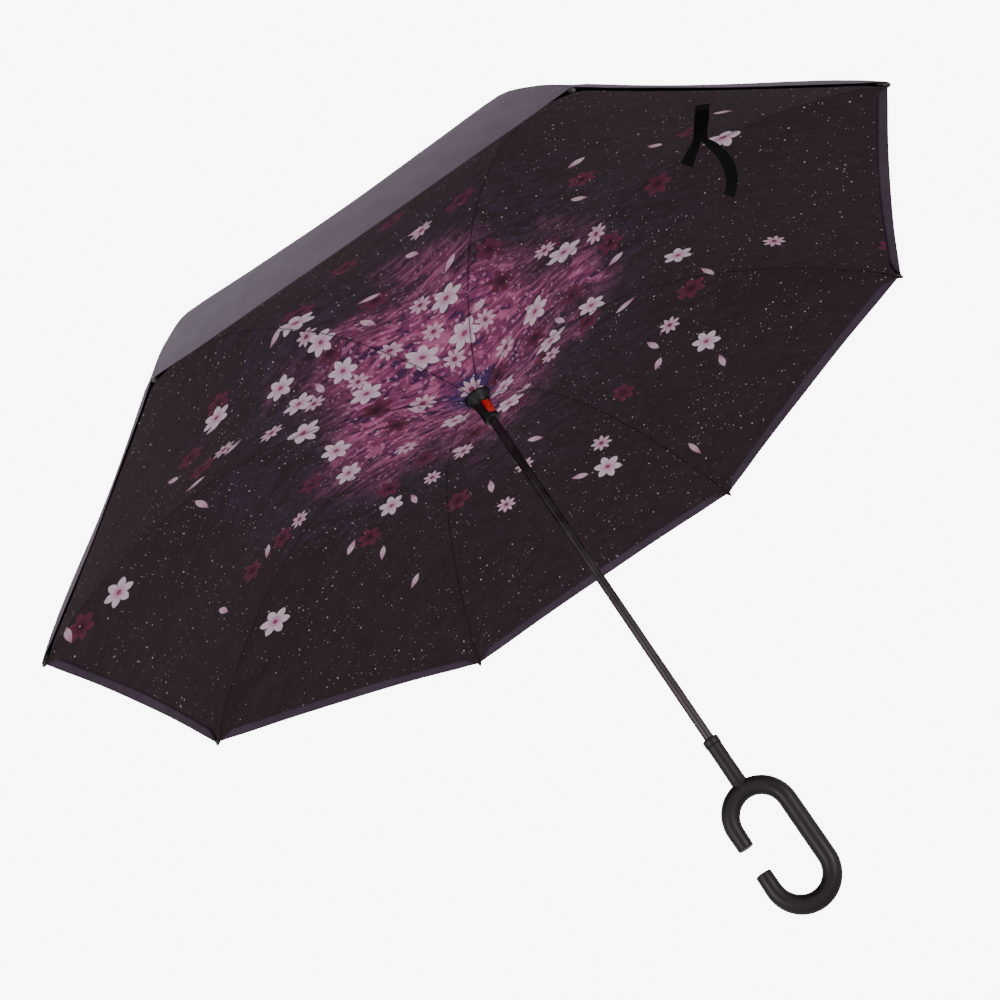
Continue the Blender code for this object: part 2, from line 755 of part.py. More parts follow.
def channel_mesh():
    """Steel channel, open below, with a hinge eye at the runner and the stretcher's rivet."""
    half = CHANNEL_DEPTH / 2
    up = normals(RIB_LINE)[0]
    start = math.atan2(up[1], up[0])
    eye = circle(half, EYE_STEPS, RIB_LINE[0], start=start, sweep=math.pi, ends=True)
    edge_points = band(RIB_LINE, half, half)[:-1] + eye[:-1]
    body = upright(flat_mesh([edge_points], CHANNEL_WIDTH))
    overrun = CUT_OVERRUN
    first = RIB_LINE[0]
    second = RIB_LINE[1]
    last = RIB_LINE[-1]
    near_last = RIB_LINE[-2]
    back = overrun / math.dist(first, second)
    ahead = overrun / math.dist(near_last, last)
    longer = [(first[0] - (second[0] - first[0]) * back, first[1] - (second[1] - first[1]) * back)]
    longer += RIB_LINE
    longer += [
        (last[0] + (last[0] - near_last[0]) * ahead, last[1] + (last[1] - near_last[1]) * ahead)
    ]
    hollow = upright(
        flat_mesh(
            [band(longer, half + overrun, half - CHANNEL_WALL)],
            CHANNEL_WIDTH - 2 * CHANNEL_WALL,
        )
    )
    channel = combined(body, hollow, "DIFFERENCE")
    eye_hole = rod_mesh(
        WIRE_RADIUS + EYE_CLEARANCE,
        CHANNEL_WIDTH + overrun,
        (first[0], 0.0, first[1]),
        "Y",
        RIVET_SIDES,
    )
    channel = combined(channel, eye_hole, "DIFFERENCE")
    rivet = rod_mesh(
        RIVET_RADIUS,
        CHANNEL_WIDTH + 2 * RIVET_STUB,
        (JOINT_RADIUS, 0.0, JOINT_HEIGHT),
        "Y",
        RIVET_SIDES,
    )
    return combined(channel, rivet, "UNION")


def outer_line_point(share, offset):
    """A point under the outer layer at a rib, off it by offset along its normal."""
    step = SLOPE_STEP_SHARE
    slope = (outer_rise(share + step) - outer_rise(share - step)) / (2 * step * HEM_RADIUS)
    run = math.hypot(1.0, slope)
    return (
        share * HEM_RADIUS + offset * slope / run,
        HEM_HEIGHT + outer_rise(share) - offset / run,
    )


def hermite(start, start_slope, end, end_slope, steps):
    """Points on the cubic between two points with given slopes, without its first point."""
    run = end[0] - start[0]
    found = []
    for i in range(1, steps + 1):
        t = i / steps
        height = (2 * t**3 - 3 * t**2 + 1) * start[1] + (3 * t**2 - 2 * t**3) * end[1]
        height += (t**3 - 2 * t**2 + t) * run * start_slope + (t**3 - t**2) * run * end_slope
        found.append((start[0] + run * t, height))
    return found


def rod_line():
    """Centre line of the flexible rod: in the channel, up to the outer layer, along it to the tip."""
    offset = TIP_RADIUS + CLOTH / 2 + SEAT_GAP
    last_share = (HEM_RADIUS - ROD_END_INSET) / HEM_RADIUS
    up = normals(RIB_LINE)[-1]
    lift = CHANNEL_DEPTH / 2 - CHANNEL_WALL - SEAT_GAP - ROD_RADIUS
    end = RIB_LINE[-1]
    mouth = (end[0] + up[0] * lift, end[1] + up[1] * lift)
    root = (mouth[0] - up[1] * ROD_IN_CHANNEL, mouth[1] + up[0] * ROD_IN_CHANNEL)
    meets = outer_line_point(ROD_MEETS_CLOTH_SHARE, offset)
    just_past = outer_line_point(ROD_MEETS_CLOTH_SHARE + SLOPE_STEP_SHARE, offset)
    meeting_slope = (just_past[1] - meets[1]) / (just_past[0] - meets[0])
    line = [root, mouth]
    line += hermite(mouth, -up[0] / up[1], meets, meeting_slope, ROD_FREE_POINTS)
    for i in range(1, ROD_CLOTH_POINTS + 1):
        share = ROD_MEETS_CLOTH_SHARE
        share += (last_share - ROD_MEETS_CLOTH_SHARE) * i / ROD_CLOTH_POINTS
        line.append(outer_line_point(share, offset))
    return line


ROD_LINE = rod_line()


def build_ribs():
    radii = [ROD_RADIUS] * 2
    taper = len(ROD_LINE) - 2
    radii += [
        ROD_RADIUS + (ROD_TIP_RADIUS - ROD_RADIUS) * (i + 1) / taper for i in range(taper)
    ]
    places = [(x, 0.0, z) for x, z in ROD_LINE]
    rod = tube_mesh(places, ROD_RADIUS, ROD_SIDES_RESOLUTION, radii)
    add_round("rib_channel", channel_mesh(), BLACK_STEEL)
    add_round("rib_rod", rod, FIBREGLASS)
    add_round("rib_tip", tip_mesh(), BLACK_PLASTIC)


def tip_mesh():
    """Cap with a blind bore, drawn on +Z and laid along the end of the rod."""
    bore = ROD_TIP_RADIUS + SEAT_GAP
    nose = TIP_LENGTH - TIP_BORE_DEPTH
    outline = [
        (0.0, nose),
        (TIP_FACE_RADIUS, nose),
        (TIP_NOSE_RADIUS, nose - TIP_ROUNDING),
        (TIP_RADIUS, nose - TIP_TAPER_LENGTH),
        (TIP_RADIUS, -TIP_BORE_DEPTH),
        (bore, -TIP_BORE_DEPTH),
        (bore, SEAT_GAP),
        (0.0, SEAT_GAP),
    ]
    mesh = turned_mesh(outline, TIP_SIDES)
    end = ROD_LINE[-1]
    before = ROD_LINE[-2]
    lean = math.atan2(end[0] - before[0], end[1] - before[1])
    mesh.transform(Matrix.Rotation(lean, 4, "Y"))
    mesh.transform(Matrix.Translation((end[0], 0.0, end[1])))
    return mesh


def bar_box(start, lean, first, last, width, side=0.0, depth=BAR_CUT_DEPTH, lift=0.0):
    """Box along a leaning bar, from first to last metres past its start."""
    middle = (first + last) / 2
    shape = box_mesh((last - first, width, depth), (middle, side, lift))
    shape.transform(Matrix.Rotation(lean, 4, "Y"))
    shape.transform(Matrix.Translation((start[0], 0.0, start[1])))
    return shape


def stretcher_mesh():
    """Channel with a hinge eye at the notch that widens into a long fork astride the rib."""
    start = (PIVOT_RADIUS, NOTCH_PIVOT_HEIGHT)
    end = (JOINT_RADIUS, JOINT_HEIGHT)
    half = STRETCHER_DEPTH / 2
    up = normals([start, end])[0]
    upward = math.atan2(up[1], up[0])
    near_eye = circle(half, EYE_STEPS, start, upward, math.pi, True)
    far_eye = circle(FORK_EYE_RADIUS, FORK_EYE_STEPS, end, upward - math.pi, math.pi, True)
    cheek_inner = CHANNEL_WIDTH / 2 + RIVET_STUB + SEAT_GAP
    cheek_outer = cheek_inner + FORK_CHEEK
    mesh = upright(flat_mesh([near_eye + far_eye], 2 * cheek_outer))
    length = math.dist(start, end)
    lean = math.atan2(start[1] - end[1], end[0] - start[0])
    throat = length * (1 - FORK_SHARE)
    shoulder = throat - STRETCHER_DEPTH

    gap = bar_box(start, lean, throat, length + CUT_OVERRUN, 2 * cheek_inner)
    mesh = combined(mesh, gap, "DIFFERENCE")
    waste = cheek_outer - STRETCHER_WIDTH / 2 + CUT_OVERRUN
    offset = STRETCHER_WIDTH / 2 + waste / 2
    sides = joined(
        [bar_box(start, lean, -CUT_OVERRUN, shoulder, waste, side) for side in (offset, -offset)]
    )
    mesh = combined(mesh, sides, "DIFFERENCE")
    inside = STRETCHER_WIDTH - 2 * STRETCHER_WALL
    depth = STRETCHER_DEPTH + CUT_OVERRUN
    lift = half - STRETCHER_WALL - depth / 2
    hollow = bar_box(start, lean, -CUT_OVERRUN, shoulder, inside, 0.0, depth, lift)
    mesh = combined(mesh, hollow, "DIFFERENCE")
    eye = (start[0], 0.0, start[1])
    through = 2 * (cheek_outer + CUT_OVERRUN)
    hole = rod_mesh(WIRE_RADIUS + EYE_CLEARANCE, through, eye, "Y", RIVET_SIDES)
    mesh = combined(mesh, hole, "DIFFERENCE")
    heads = []
    for side in (-1, 1):
        middle = side * (cheek_outer + RIVET_HEAD / 2 - SEAT_GAP / 2)
        place = (end[0], middle, end[1])
        heads.append(rod_mesh(RIVET_HEAD_RADIUS, RIVET_HEAD + SEAT_GAP, place, "Y", RIVET_SIDES))
    return combined(mesh, joined(heads), "UNION")


# Handle


def loop_points():
    """Centre line of the C, from one cut end round the loop to the other, gap toward -X."""
    half = LOOP_HALF_STRAIGHT
    points = [(-LOOP_RADIUS, LOOP_GAP / 2)]
    points += circle(LOOP_RADIUS, LOOP_ARC_STEPS + 1, (0.0, half), math.pi, -math.pi, True)
    points += circle(LOOP_RADIUS, LOOP_ARC_STEPS + 1, (0.0, -half), 0.0, -math.pi, True)
    points.append((-LOOP_RADIUS, -LOOP_GAP / 2))
    return [(x, 0.0, z) for x, z in points]


def build_handle():
    loop = tube_mesh(loop_points(), GRIP_RADIUS, GRIP_SIDES_RESOLUTION)
    top = NECK_TOP - COLLAR_HEIGHT - SEAT_GAP
    crest = LOOP_HALF_STRAIGHT + LOOP_RADIUS
    flare = [
        (NECK_RADIUS, top),
        (NECK_RADIUS, crest + 2 * GRIP_RADIUS),
        (FILLET_RADIUS, crest + FILLET_HEIGHT),
    ]
    outline = [(0.0, top)] + flare + [(FILLET_ROOT_RADIUS, crest), (0.0, crest)]
    body = combined(loop, turned_mesh(outline, NECK_SIDES), "UNION")
    depth = SHAFT_SOCKET_DEPTH + SEAT_GAP
    middle = (0.0, 0.0, NECK_TOP - depth / 2 + CUT_OVERRUN / 2)
    bore = rod_mesh(BORE_RADIUS, depth + CUT_OVERRUN, middle, "Z", NECK_SIDES)
    add("c_handle", combined(body, bore, "DIFFERENCE"), SOFT_TOUCH)


def build_collar():
    top = NECK_TOP
    bottom = top - COLLAR_HEIGHT
    outline = [
        (COLLAR_RADIUS - COLLAR_EDGE, top),
        (COLLAR_RADIUS, top - COLLAR_EDGE),
        (COLLAR_RADIUS, bottom + COLLAR_EDGE),
        (NECK_RADIUS, bottom),
        (BORE_RADIUS, bottom),
        (BORE_RADIUS, top),
    ]
    add("handle_collar", turned_mesh(outline, TURNED_SIDES), BLACK_PLASTIC)


# Closing strap


def under_cloth(x, y):
    """Height of the patch's middle under the inner layer at a place in the strap's own frame."""
    off = math.atan2(y, x) + STRAP_TURN - rib_turn(STRAP_RIB)
    rib_radius = math.hypot(x, y) * math.hypot(x, y) / along_chord(math.hypot(x, y), off)
    height = cloth_height(inner_rise, RUNNER_RIM_RADIUS, rib_radius, off)
    return height - (CLOTH + STRAP_THICKNESS) / 2 - STRAP_SEAT


def strap_root(side, back):
    """A corner of the sewn patch, side metres across and back metres behind the ribbon's root."""
    behind = STRAP_DOWN.cross(STRAP_ACROSS)
    place = Vector((STRAP_ROOT_RADIUS, 0.0, 0.0)) + STRAP_ACROSS * side + behind * back
    place.z = under_cloth(place.x, place.y)
    return place


def tail_row(rows, index, start):
    """Left and right edge of one row of a tail, square to the way the tail runs."""
    across, down, width = rows[index]
    before = rows[index - 1] if index else start
    run = Vector((across - before[0], down - before[1])).normalized()
    return [
        (across - run.y * width / 2, down + run.x * width / 2),
        (across + run.y * width / 2, down - run.x * width / 2),
    ]


def strap_faces():
    """Corners and faces of the flat ribbon: patch, trunk in two halves, and one tail to a half."""
    origin = strap_root(0.0, 0.0)
    behind = STRAP_DOWN.cross(STRAP_ACROSS)
    width = STRAP_TRUNK[0][2]
    places = []
    for back in (STRAP_PATCH, 0.0):
        places += [strap_root(side, back) for side in (-width / 2, 0.0, width / 2)]
    for across, down, width in STRAP_TRUNK:
        for side in (-width / 2, 0.0, width / 2):
            places.append(origin + STRAP_ACROSS * (across + side) + STRAP_DOWN * down)
    faces = []
    for row in range(len(STRAP_TRUNK) + 1):
        for column in range(2):
            first = row * 3 + column
            faces.append((first, first + 1, first + 4, first + 3))
    last = len(places) - 3
    for rows, edge, sway in ((STRAP_LEFT, (last, last + 1), 1), (STRAP_RIGHT, (last + 1, last + 2), -1)):
        for index in range(len(rows)):
            curl = STRAP_CURL * sway * math.sin((index + 1) / len(rows) * math.pi)
            for across, down in tail_row(rows, index, STRAP_TRUNK[-1]):
                place = origin + STRAP_ACROSS * across + STRAP_DOWN * down
                places.append(place + behind * curl)
            fresh = (len(places) - 2, len(places) - 1)
            faces.append((edge[0], edge[1], fresh[1], fresh[0]))
            edge = fresh
    return places, faces


def build_strap():
    """Ribbon with two tails that hangs off a patch sewn under the inner layer."""
    places, faces = strap_faces()
    mesh = bpy.data.meshes.new("ribbon")
    mesh.from_pydata(places, [], faces)
    source = helper(mesh)
    soften = source.modifiers.new("soften", "SUBSURF")
    soften.levels = 1
    soften.render_levels = 1
    soften.boundary_smooth = "PRESERVE_CORNERS"
    thicken = source.modifiers.new("ribbon", "SOLIDIFY")
    thicken.thickness = STRAP_THICKNESS
    thicken.offset = 0.0
    strap = add("closing_strap", baked(source), RIBBON, CLOTH_SMOOTH)
    strap.rotation_euler = (0.0, 0.0, STRAP_TURN)


# Joint axes


def set_joint_axes():
    """Joint axes of the runner, its button and the eight folding ribs with their stretchers."""
    slide = joint_axis(
        "runner_axis",
        (0.0, 0.0, RUNNER_PIVOT_HEIGHT),
        0.0,
        ["runner", "runner_wire", "button_spring"],
    )
    joint_axis("button_axis", (0.0, 0.0, BUTTON_HEIGHT_MIDDLE), BUTTON_TURN, ["push_button"], slide)
    flex_radius, flex_height = ROD_LINE[ROD_FLEX_POINT]
    for index in range(RIB_COUNT):
        number = index + 1
        turn = rib_turn(index)
        out = Vector((math.cos(turn), math.sin(turn), 0.0))
        riders = [f"{name}_{number}" for name in RIB_RIDERS]
        ends = [f"rib_tip_{number}"] + (["closing_strap"] if index == STRAP_RIB else [])
        pivot = out * PIVOT_RADIUS + Vector((0.0, 0.0, RUNNER_PIVOT_HEIGHT))
        hinge = joint_axis(f"rib_axis_{number}", pivot, turn, riders, slide)
        bend = out * flex_radius + Vector((0.0, 0.0, flex_height))
        joint_axis(f"flex_axis_{number}", bend, turn, ends, hinge)
        pivot = out * PIVOT_RADIUS + Vector((0.0, 0.0, NOTCH_PIVOT_HEIGHT))
        joint_axis(f"stretcher_axis_{number}", pivot, turn, [f"stretcher_{number}"])


build_shaft()
build_crown_cap()
build_notch()
build_runner()
build_wires()
build_button()
build_button_spring()
build_ribs()
add_round("stretcher", stretcher_mesh(), BLACK_STEEL)
build_canopies()
build_handle()
build_collar()
build_strap()
set_joint_axes()
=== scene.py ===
# %% [markdown]
# # A reverse-folding umbrella with two layers of cloth
#
# The frame holds the umbrella's measured solids. This notebook dresses them. Cloth, grip, runner,
# rods and strap get new meshes, the rest gets a material, and the cloth strips, grip, neck,
# collar, bell and strap hang on the frame's moving parts.

import math
from functools import partial

import bmesh
import bpy
from mathutils import Matrix, Vector, noise


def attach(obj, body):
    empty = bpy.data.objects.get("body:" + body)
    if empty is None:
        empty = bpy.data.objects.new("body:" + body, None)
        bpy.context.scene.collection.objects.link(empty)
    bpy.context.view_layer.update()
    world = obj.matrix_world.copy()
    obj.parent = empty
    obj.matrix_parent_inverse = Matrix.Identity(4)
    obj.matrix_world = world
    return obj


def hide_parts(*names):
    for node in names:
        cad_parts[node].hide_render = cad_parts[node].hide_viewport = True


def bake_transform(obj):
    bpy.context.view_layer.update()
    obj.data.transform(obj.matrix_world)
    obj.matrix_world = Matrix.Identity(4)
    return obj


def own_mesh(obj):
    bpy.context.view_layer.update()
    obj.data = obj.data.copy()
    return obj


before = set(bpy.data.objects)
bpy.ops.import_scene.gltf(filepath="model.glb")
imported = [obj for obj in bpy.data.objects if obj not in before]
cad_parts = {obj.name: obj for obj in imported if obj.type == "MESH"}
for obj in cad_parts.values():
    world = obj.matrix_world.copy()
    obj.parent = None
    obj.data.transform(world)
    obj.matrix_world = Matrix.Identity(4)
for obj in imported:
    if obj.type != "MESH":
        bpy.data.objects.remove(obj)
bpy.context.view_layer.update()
scene = bpy.context.scene

# %% [markdown]
# ## The camera
#
# The open umbrella is seen from under its rim, past the handle. A camera is a place and three
# directions. A photograph's straight edges and ring of rib tips fix all of them at once, so they
# are written here as numbers instead of being turned by hand.

# %% Camera
VIEW_PLACE = Vector((0.01128, -1.59444, -0.25556))
VIEW_RIGHT = Vector((0.825102, 0.255055, -0.504137))
VIEW_UP = Vector((0.564163, -0.323865, 0.759493))
VIEW_FORWARD = Vector((-0.030440, 0.911075, 0.411114))
FILM_WIDTH_MM = 36.0
LENS_MM = 58.66

view_data = bpy.data.cameras.new("view")
view_data.sensor_width = FILM_WIDTH_MM
view_data.lens = LENS_MM
view_data.clip_start = 0.01
view_data.clip_end = 100.0
view = bpy.data.objects.new("view", view_data)
scene.collection.objects.link(view)
turn = Matrix((VIEW_RIGHT, VIEW_UP, -VIEW_FORWARD)).transposed()
view.matrix_world = Matrix.Translation(VIEW_PLACE) @ turn.to_4x4()
scene.camera = view
print("camera", tuple(round(x, 3) for x in view.location))

# %% [markdown]
# ## Small helpers for modelling
#
# Operators act on whatever is selected, and the frame arrives selected. So every step first
# deselects all, then makes one piece active. A finished piece has its place in its mesh and its
# object at the origin.

# %% Modelling helpers
MERGE_DISTANCE = 0.000005


def deselect_all():
    """Leaves nothing selected and no object in edit mode."""
    if bpy.context.mode != "OBJECT":
        bpy.ops.object.mode_set(mode="OBJECT")
    bpy.ops.object.select_all(action="DESELECT")


def activate(piece):
    """Selects one piece alone and makes it active."""
    deselect_all()
    piece.select_set(True)
    bpy.context.view_layer.objects.active = piece


def name_active(name):
    """Names the object that an operator has just added."""
    piece = bpy.context.active_object
    piece.name = name
    piece.data.name = name
    return piece


def settle(piece, smooth_degrees):
    """Writes the object's place into its mesh and shades it smooth up to an angle."""
    activate(piece)
    bpy.ops.object.transform_apply(location=True, rotation=True, scale=True)
    bpy.ops.object.shade_smooth_by_angle(angle=math.radians(smooth_degrees))
    deselect_all()


def add_object(name, data):
    """A new object for a mesh or a light, linked to the scene."""
    made = bpy.data.objects.new(name, data)
    scene.collection.objects.link(made)
    return made


def apply_modifier(piece, kind, **settings):
    """Adds one modifier with its settings and applies it."""
    activate(piece)
    modifier = piece.modifiers.new(kind.lower(), kind)
    for key, value in settings.items():
        setattr(modifier, key, value)
    bpy.ops.object.modifier_apply(modifier=modifier.name)
    deselect_all()


def edit_all(piece):
    """Opens one piece in edit mode with all of it selected."""
    activate(piece)
    bpy.ops.object.mode_set(mode="EDIT")
    bpy.ops.mesh.select_all(action="SELECT")


def clean_normals(piece):
    """Merges doubles and points every face outward."""
    edit_all(piece)
    bpy.ops.mesh.remove_doubles(threshold=MERGE_DISTANCE)
    bpy.ops.mesh.normals_make_consistent(inside=False)
    deselect_all()


def wear(piece, finish):
    """Gives a piece its one material."""
    piece.data.materials.clear()
    piece.data.materials.append(finish)


# %% [markdown]
# ## Measures of the umbrella
#
# The cloth is made from the same rules as the solids: how high each layer stands over the plane of
# the hem along a rib, and the straight line from one rib to the next. Lengths are in metres.


# %% Measures
RIBS = 8
RIB_STEP = 2 * math.pi / RIBS
FIRST_RIB = math.radians(22.5)
HEM_RADIUS = 0.540
HEM_HEIGHT = 0.501
SHAFT_RADIUS = 0.005
FLEX_RADIUS = 0.3264
STRETCHER_END = 0.240
RUNNER_RIM = 0.0144
RUNNER_NECK = 0.0082
CROWN_RADIUS = 0.016
CLOTH = 0.0004


def rib_turn(number):
    """Turn of rib 1 to 8 about the shaft."""
    return FIRST_RIB + (number - 1) * RIB_STEP


print("ribs:", RIBS, "and hem radius:", HEM_RADIUS)

# %% Rise of the two layers
OUTER_RISE = 0.166
OUTER_ROUNDNESS = 4.3
OUTER_SLOPE = 0.010
INNER_RISE = 0.083
INNER_BULGE = 0.0785


def outer_rise(share):
    """Height of the outer layer over the hem: a dome that gets steep at its rim."""
    return OUTER_RISE * (1 - share**OUTER_ROUNDNESS) + OUTER_SLOPE * (1 - share)


def inner_rise(share):
    """Height of the inner layer over the hem: a cone with a bulge."""
    return INNER_RISE * (1 - share) + 4 * INNER_BULGE * share * (1 - share)


def smooth_step(value, low, high):
    """A smooth change from 0 at low to 1 at high."""
    share = min(1.0, max(0.0, (value - low) / (high - low)))
    return share * share * (3 - 2 * share)


# flat: where the fall begins; first: inner edge; corner, hem: outer edge at a rib and beside it;
# scallop, draw: how far the hem curves in and is pulled down; nestle: dip before the tip;
# seam: depth of the groove along the rib; folds: height of the small folds
LAYERS = {
    "inner": {"rise": inner_rise, "flat": RUNNER_RIM, "first": RUNNER_NECK + 0.0003,
              "corner": 0.5372, "hem": 0.5285, "scallop": 0.0104, "draw": 0.0, "nestle": 0.0,
              "seam": -0.00030, "folds": 0.0007},
    "outer": {"rise": outer_rise, "flat": CROWN_RADIUS, "first": SHAFT_RADIUS + 0.0003,
              "corner": 0.5385, "hem": 0.5385, "scallop": 0.011, "draw": 0.55, "nestle": 0.0030,
              "seam": -0.00035, "folds": 0.0016},
}
print("rise at the hub:", outer_rise(0.0), "outer,", inner_rise(0.0), "inner")

# %% Hem of a layer
CORNER_SHARE = 0.13
HEM_DRAW_REACH = 0.090
NESTLE_FROM = 0.440
TUCK = 0.0040
TUCK_RADII = (0.5225, 0.5290)
TUCK_SHARES = (0.015, 0.09)


def hem_radius(layer, share):
    """Where the hem is, from the rib (share 0) to the middle of the gore (share 1)."""
    inset = smooth_step(share, 0.0, CORNER_SHARE)
    reach = layer["corner"] + (layer["hem"] - layer["corner"]) * inset
    return reach * (1 - layer["scallop"] * share * (2 - share))


def hem_drop(layer, rib_radius, share):
    """How far the pull of the hem lowers a layer, and how far its corner tucks under the tip."""
    last = hem_radius(layer, share)
    near = smooth_step(rib_radius, last - HEM_DRAW_REACH, last)
    rise = layer["rise"]((last - layer["flat"]) / (HEM_RADIUS - layer["flat"]))
    drop = layer["draw"] * rise * near * share * (2 - share)
    along = min(1.0, max(0.0, (rib_radius - NESTLE_FROM) / (last - NESTLE_FROM)))
    drop += layer["nestle"] * math.sin(math.pi * along) ** 2 * (1 - share) ** 2
    if layer["corner"] > layer["hem"]:
        drop += TUCK * smooth_step(rib_radius, *TUCK_RADII) * (1 - smooth_step(share, *TUCK_SHARES))
    return drop


print("inner hem in mid gore:", round(hem_radius(LAYERS["inner"], 1.0), 4))

# %% Folds and places of the cloth
TIP_PLACE = 0.538
FAN_REACH = 0.105
FAN_FOLDS = 9.0
FAN_PHASE = 0.6
FAN_STARTS = (0.004, 0.05)
FAN_SHARES = (0.35, 0.95)
GATHER_REACH = 0.028
GATHER_END = 0.03
GATHER_FOLDS = 3
SLACK = 0.0012
SLACK_SCALE = 5.0
SLACK_STARTS = (0.05, 0.15)
GORE_SAG_SHARE = 0.030


def cloth_folds(layer, x, y, rib_radius, share):
    """Height of the small folds: fans from the rib's tip and gathers at the hub."""
    back = TIP_PLACE - x
    distance = math.hypot(back, y)
    fan = math.sin(FAN_FOLDS * math.atan2(abs(y), max(back, 1e-5)) + FAN_PHASE)
    fan *= math.exp(-((distance / FAN_REACH) ** 2)) * smooth_step(distance, *FAN_STARTS)
    fan *= 1 - smooth_step(share, *FAN_SHARES)
    gather = 0.5 * math.exp(-max(0.0, rib_radius - layer["flat"]) / GATHER_REACH)
    gather *= math.cos(share * GATHER_FOLDS * math.pi)
    gather *= smooth_step(rib_radius, layer["flat"], GATHER_END)
    return layer["folds"] * (fan + gather)


def cloth_point(layer, rib_radius, share, sign, number):
    """A point of a layer, on the line that starts at rib_radius on the rib, before its turn."""
    half = RIB_STEP / 2
    angle = half * share
    straight = rib_radius * math.cos(half) / math.cos(half - angle)
    flat = layer["flat"]
    radius = rib_radius + (straight - rib_radius) * smooth_step(rib_radius, flat, flat * 2)
    out = max(0.0, (rib_radius - flat) / (HEM_RADIUS - flat))
    sag = GORE_SAG_SHARE * rib_radius * math.sin(angle * math.pi / RIB_STEP) ** 2
    sag *= math.sin(min(1.0, out) * math.pi) ** 2
    x = radius * math.cos(angle)
    y = sign * radius * math.sin(angle)
    height = HEM_HEIGHT + layer["rise"](out) - sag - hem_drop(layer, rib_radius, share)
    height += cloth_folds(layer, x, y, rib_radius, share)
    place = Vector((x, y, height))
    place.rotate(Matrix.Rotation(rib_turn(number), 3, "Z"))
    layer_seed = 7.0 * layer["seam"] * 1e4
    slack = noise.noise(Vector((place.x * SLACK_SCALE, place.y * SLACK_SCALE, layer_seed)))
    place.z += SLACK * slack * smooth_step(rib_radius, *SLACK_STARTS)
    return place


# %% [markdown]
# ## Node helpers
#
# A procedural material is a small calculation. Writing `calc(tree, "MULTIPLY", a, b)` for each step
# keeps it readable. What several finishes share, such as the weave, is a node group with named
# sockets, so each finish only sets its own numbers.


# %% Node helpers
def feed(tree, socket, value):
    """Links a socket to another, or sets it to a plain value."""
    if isinstance(value, bpy.types.NodeSocket):
        tree.links.new(value, socket)
    else:
        socket.default_value = value


def add_node(tree, kind, inputs=None, **settings):
    """Adds a shader node, with its settings and its inputs by name or number."""
    node = tree.nodes.new("ShaderNode" + kind)
    for key, value in settings.items():
        setattr(node, key, value)
    for key, value in (inputs or {}).items():
        feed(tree, node.inputs[key], value)
    return node


def calc(tree, operation, a, b=None, c=None, clamp=False):
    """One Math node."""
    inputs = {i: v for i, v in enumerate((a, b, c)) if v is not None}
    return add_node(tree, "Math", inputs, operation=operation, use_clamp=clamp).outputs[0]


def times(tree, a, b):
    """The product of two values."""
    return calc(tree, "MULTIPLY", a, b)


def length_of(tree, vector):
    """The length of a vector."""
    return add_node(tree, "VectorMath", {0: vector}, operation="LENGTH").outputs["Value"]


def ramp(tree, value, low, high, first=0.0, last=1.0):
    """Smooth change from first to last as value goes from low to high."""
    ends = {"From Min": low, "From Max": high, "To Min": first, "To Max": last}
    inputs = {"Value": value, **ends}
    return add_node(tree, "MapRange", inputs, interpolation_type="SMOOTHSTEP").outputs["Result"]


def mix(tree, share, a, b):
    """Mix of two colours."""
    inputs = {"Factor": share, "A": a, "B": b}
    return add_node(tree, "Mix", inputs, data_type="RGBA").outputs["Result"]


# %% Helpers for groups and colours
def new_group(name, inputs, outputs):
    """An empty node group with named sockets: its tree, what it is given and what it puts out."""
    tree = bpy.data.node_groups.new(name, "ShaderNodeTree")
    for key, kind, value in inputs:
        socket = tree.interface.new_socket(key, in_out="INPUT", socket_type="NodeSocket" + kind)
        if value is not None:
            socket.default_value = value
    for key, kind in outputs:
        tree.interface.new_socket(key, in_out="OUTPUT", socket_type="NodeSocket" + kind)
    start = tree.nodes.new("NodeGroupInput")
    end = tree.nodes.new("NodeGroupOutput")
    return tree, start.outputs, end.inputs


def put_out(tree, made, **values):
    """Links the named outputs of a group."""
    for key, value in values.items():
        feed(tree, made[key], value)


def use_group(tree, group, **inputs):
    """Places a node group and sets its inputs."""
    return add_node(tree, "Group", inputs, node_tree=group).outputs


def rgb(red, green, blue):
    """A screen colour, 0 to 255, as the linear colour that a shader takes."""
    linear = [c / 12.92 if c <= 0.04045 else ((c + 0.055) / 1.055) ** 2.4
              for c in (red / 255, green / 255, blue / 255)]
    return (*linear, 1.0)


# %% [markdown]
# ## Shared effects
#
# Four effects turn up in several finishes. The weave is two crossing sets of threads. Grain is the
# fine texture of moulded plastic or paint. Worn edges are lighter where the surface is sharply
# convex. Stitches are short raised dashes beside a seam or a hem.


# %% Weave and grain
WEAVE, given, made = new_group(
    "woven_threads",
    [("Place", "Vector", None), ("Threads", "Float", 4000.0)],
    [("Height", "Float")],
)
parts = add_node(WEAVE, "SeparateXYZ", {0: given["Place"]}).outputs
warp = calc(WEAVE, "SINE", times(WEAVE, parts[0], given["Threads"]))
weft = calc(WEAVE, "SINE", times(WEAVE, parts[1], given["Threads"]))
crossing = times(WEAVE, warp, weft)
put_out(WEAVE, made, Height=calc(WEAVE, "MULTIPLY_ADD", crossing, 0.5, 0.5))

GRAIN, given, made = new_group(
    "fine_grain",
    [("Place", "Vector", None), ("Scale", "Float", 900.0)],
    [("Height", "Float"), ("Cloud", "Float")],
)
for key, scale, detail in (("Height", given["Scale"], 4.0), ("Cloud", 35.0, 3.0)):
    inputs = {"Vector": given["Place"], "Scale": scale, "Detail": detail}
    put_out(GRAIN, made, **{key: add_node(GRAIN, "TexNoise", inputs).outputs[0]})
print("groups:", WEAVE.name, GRAIN.name)

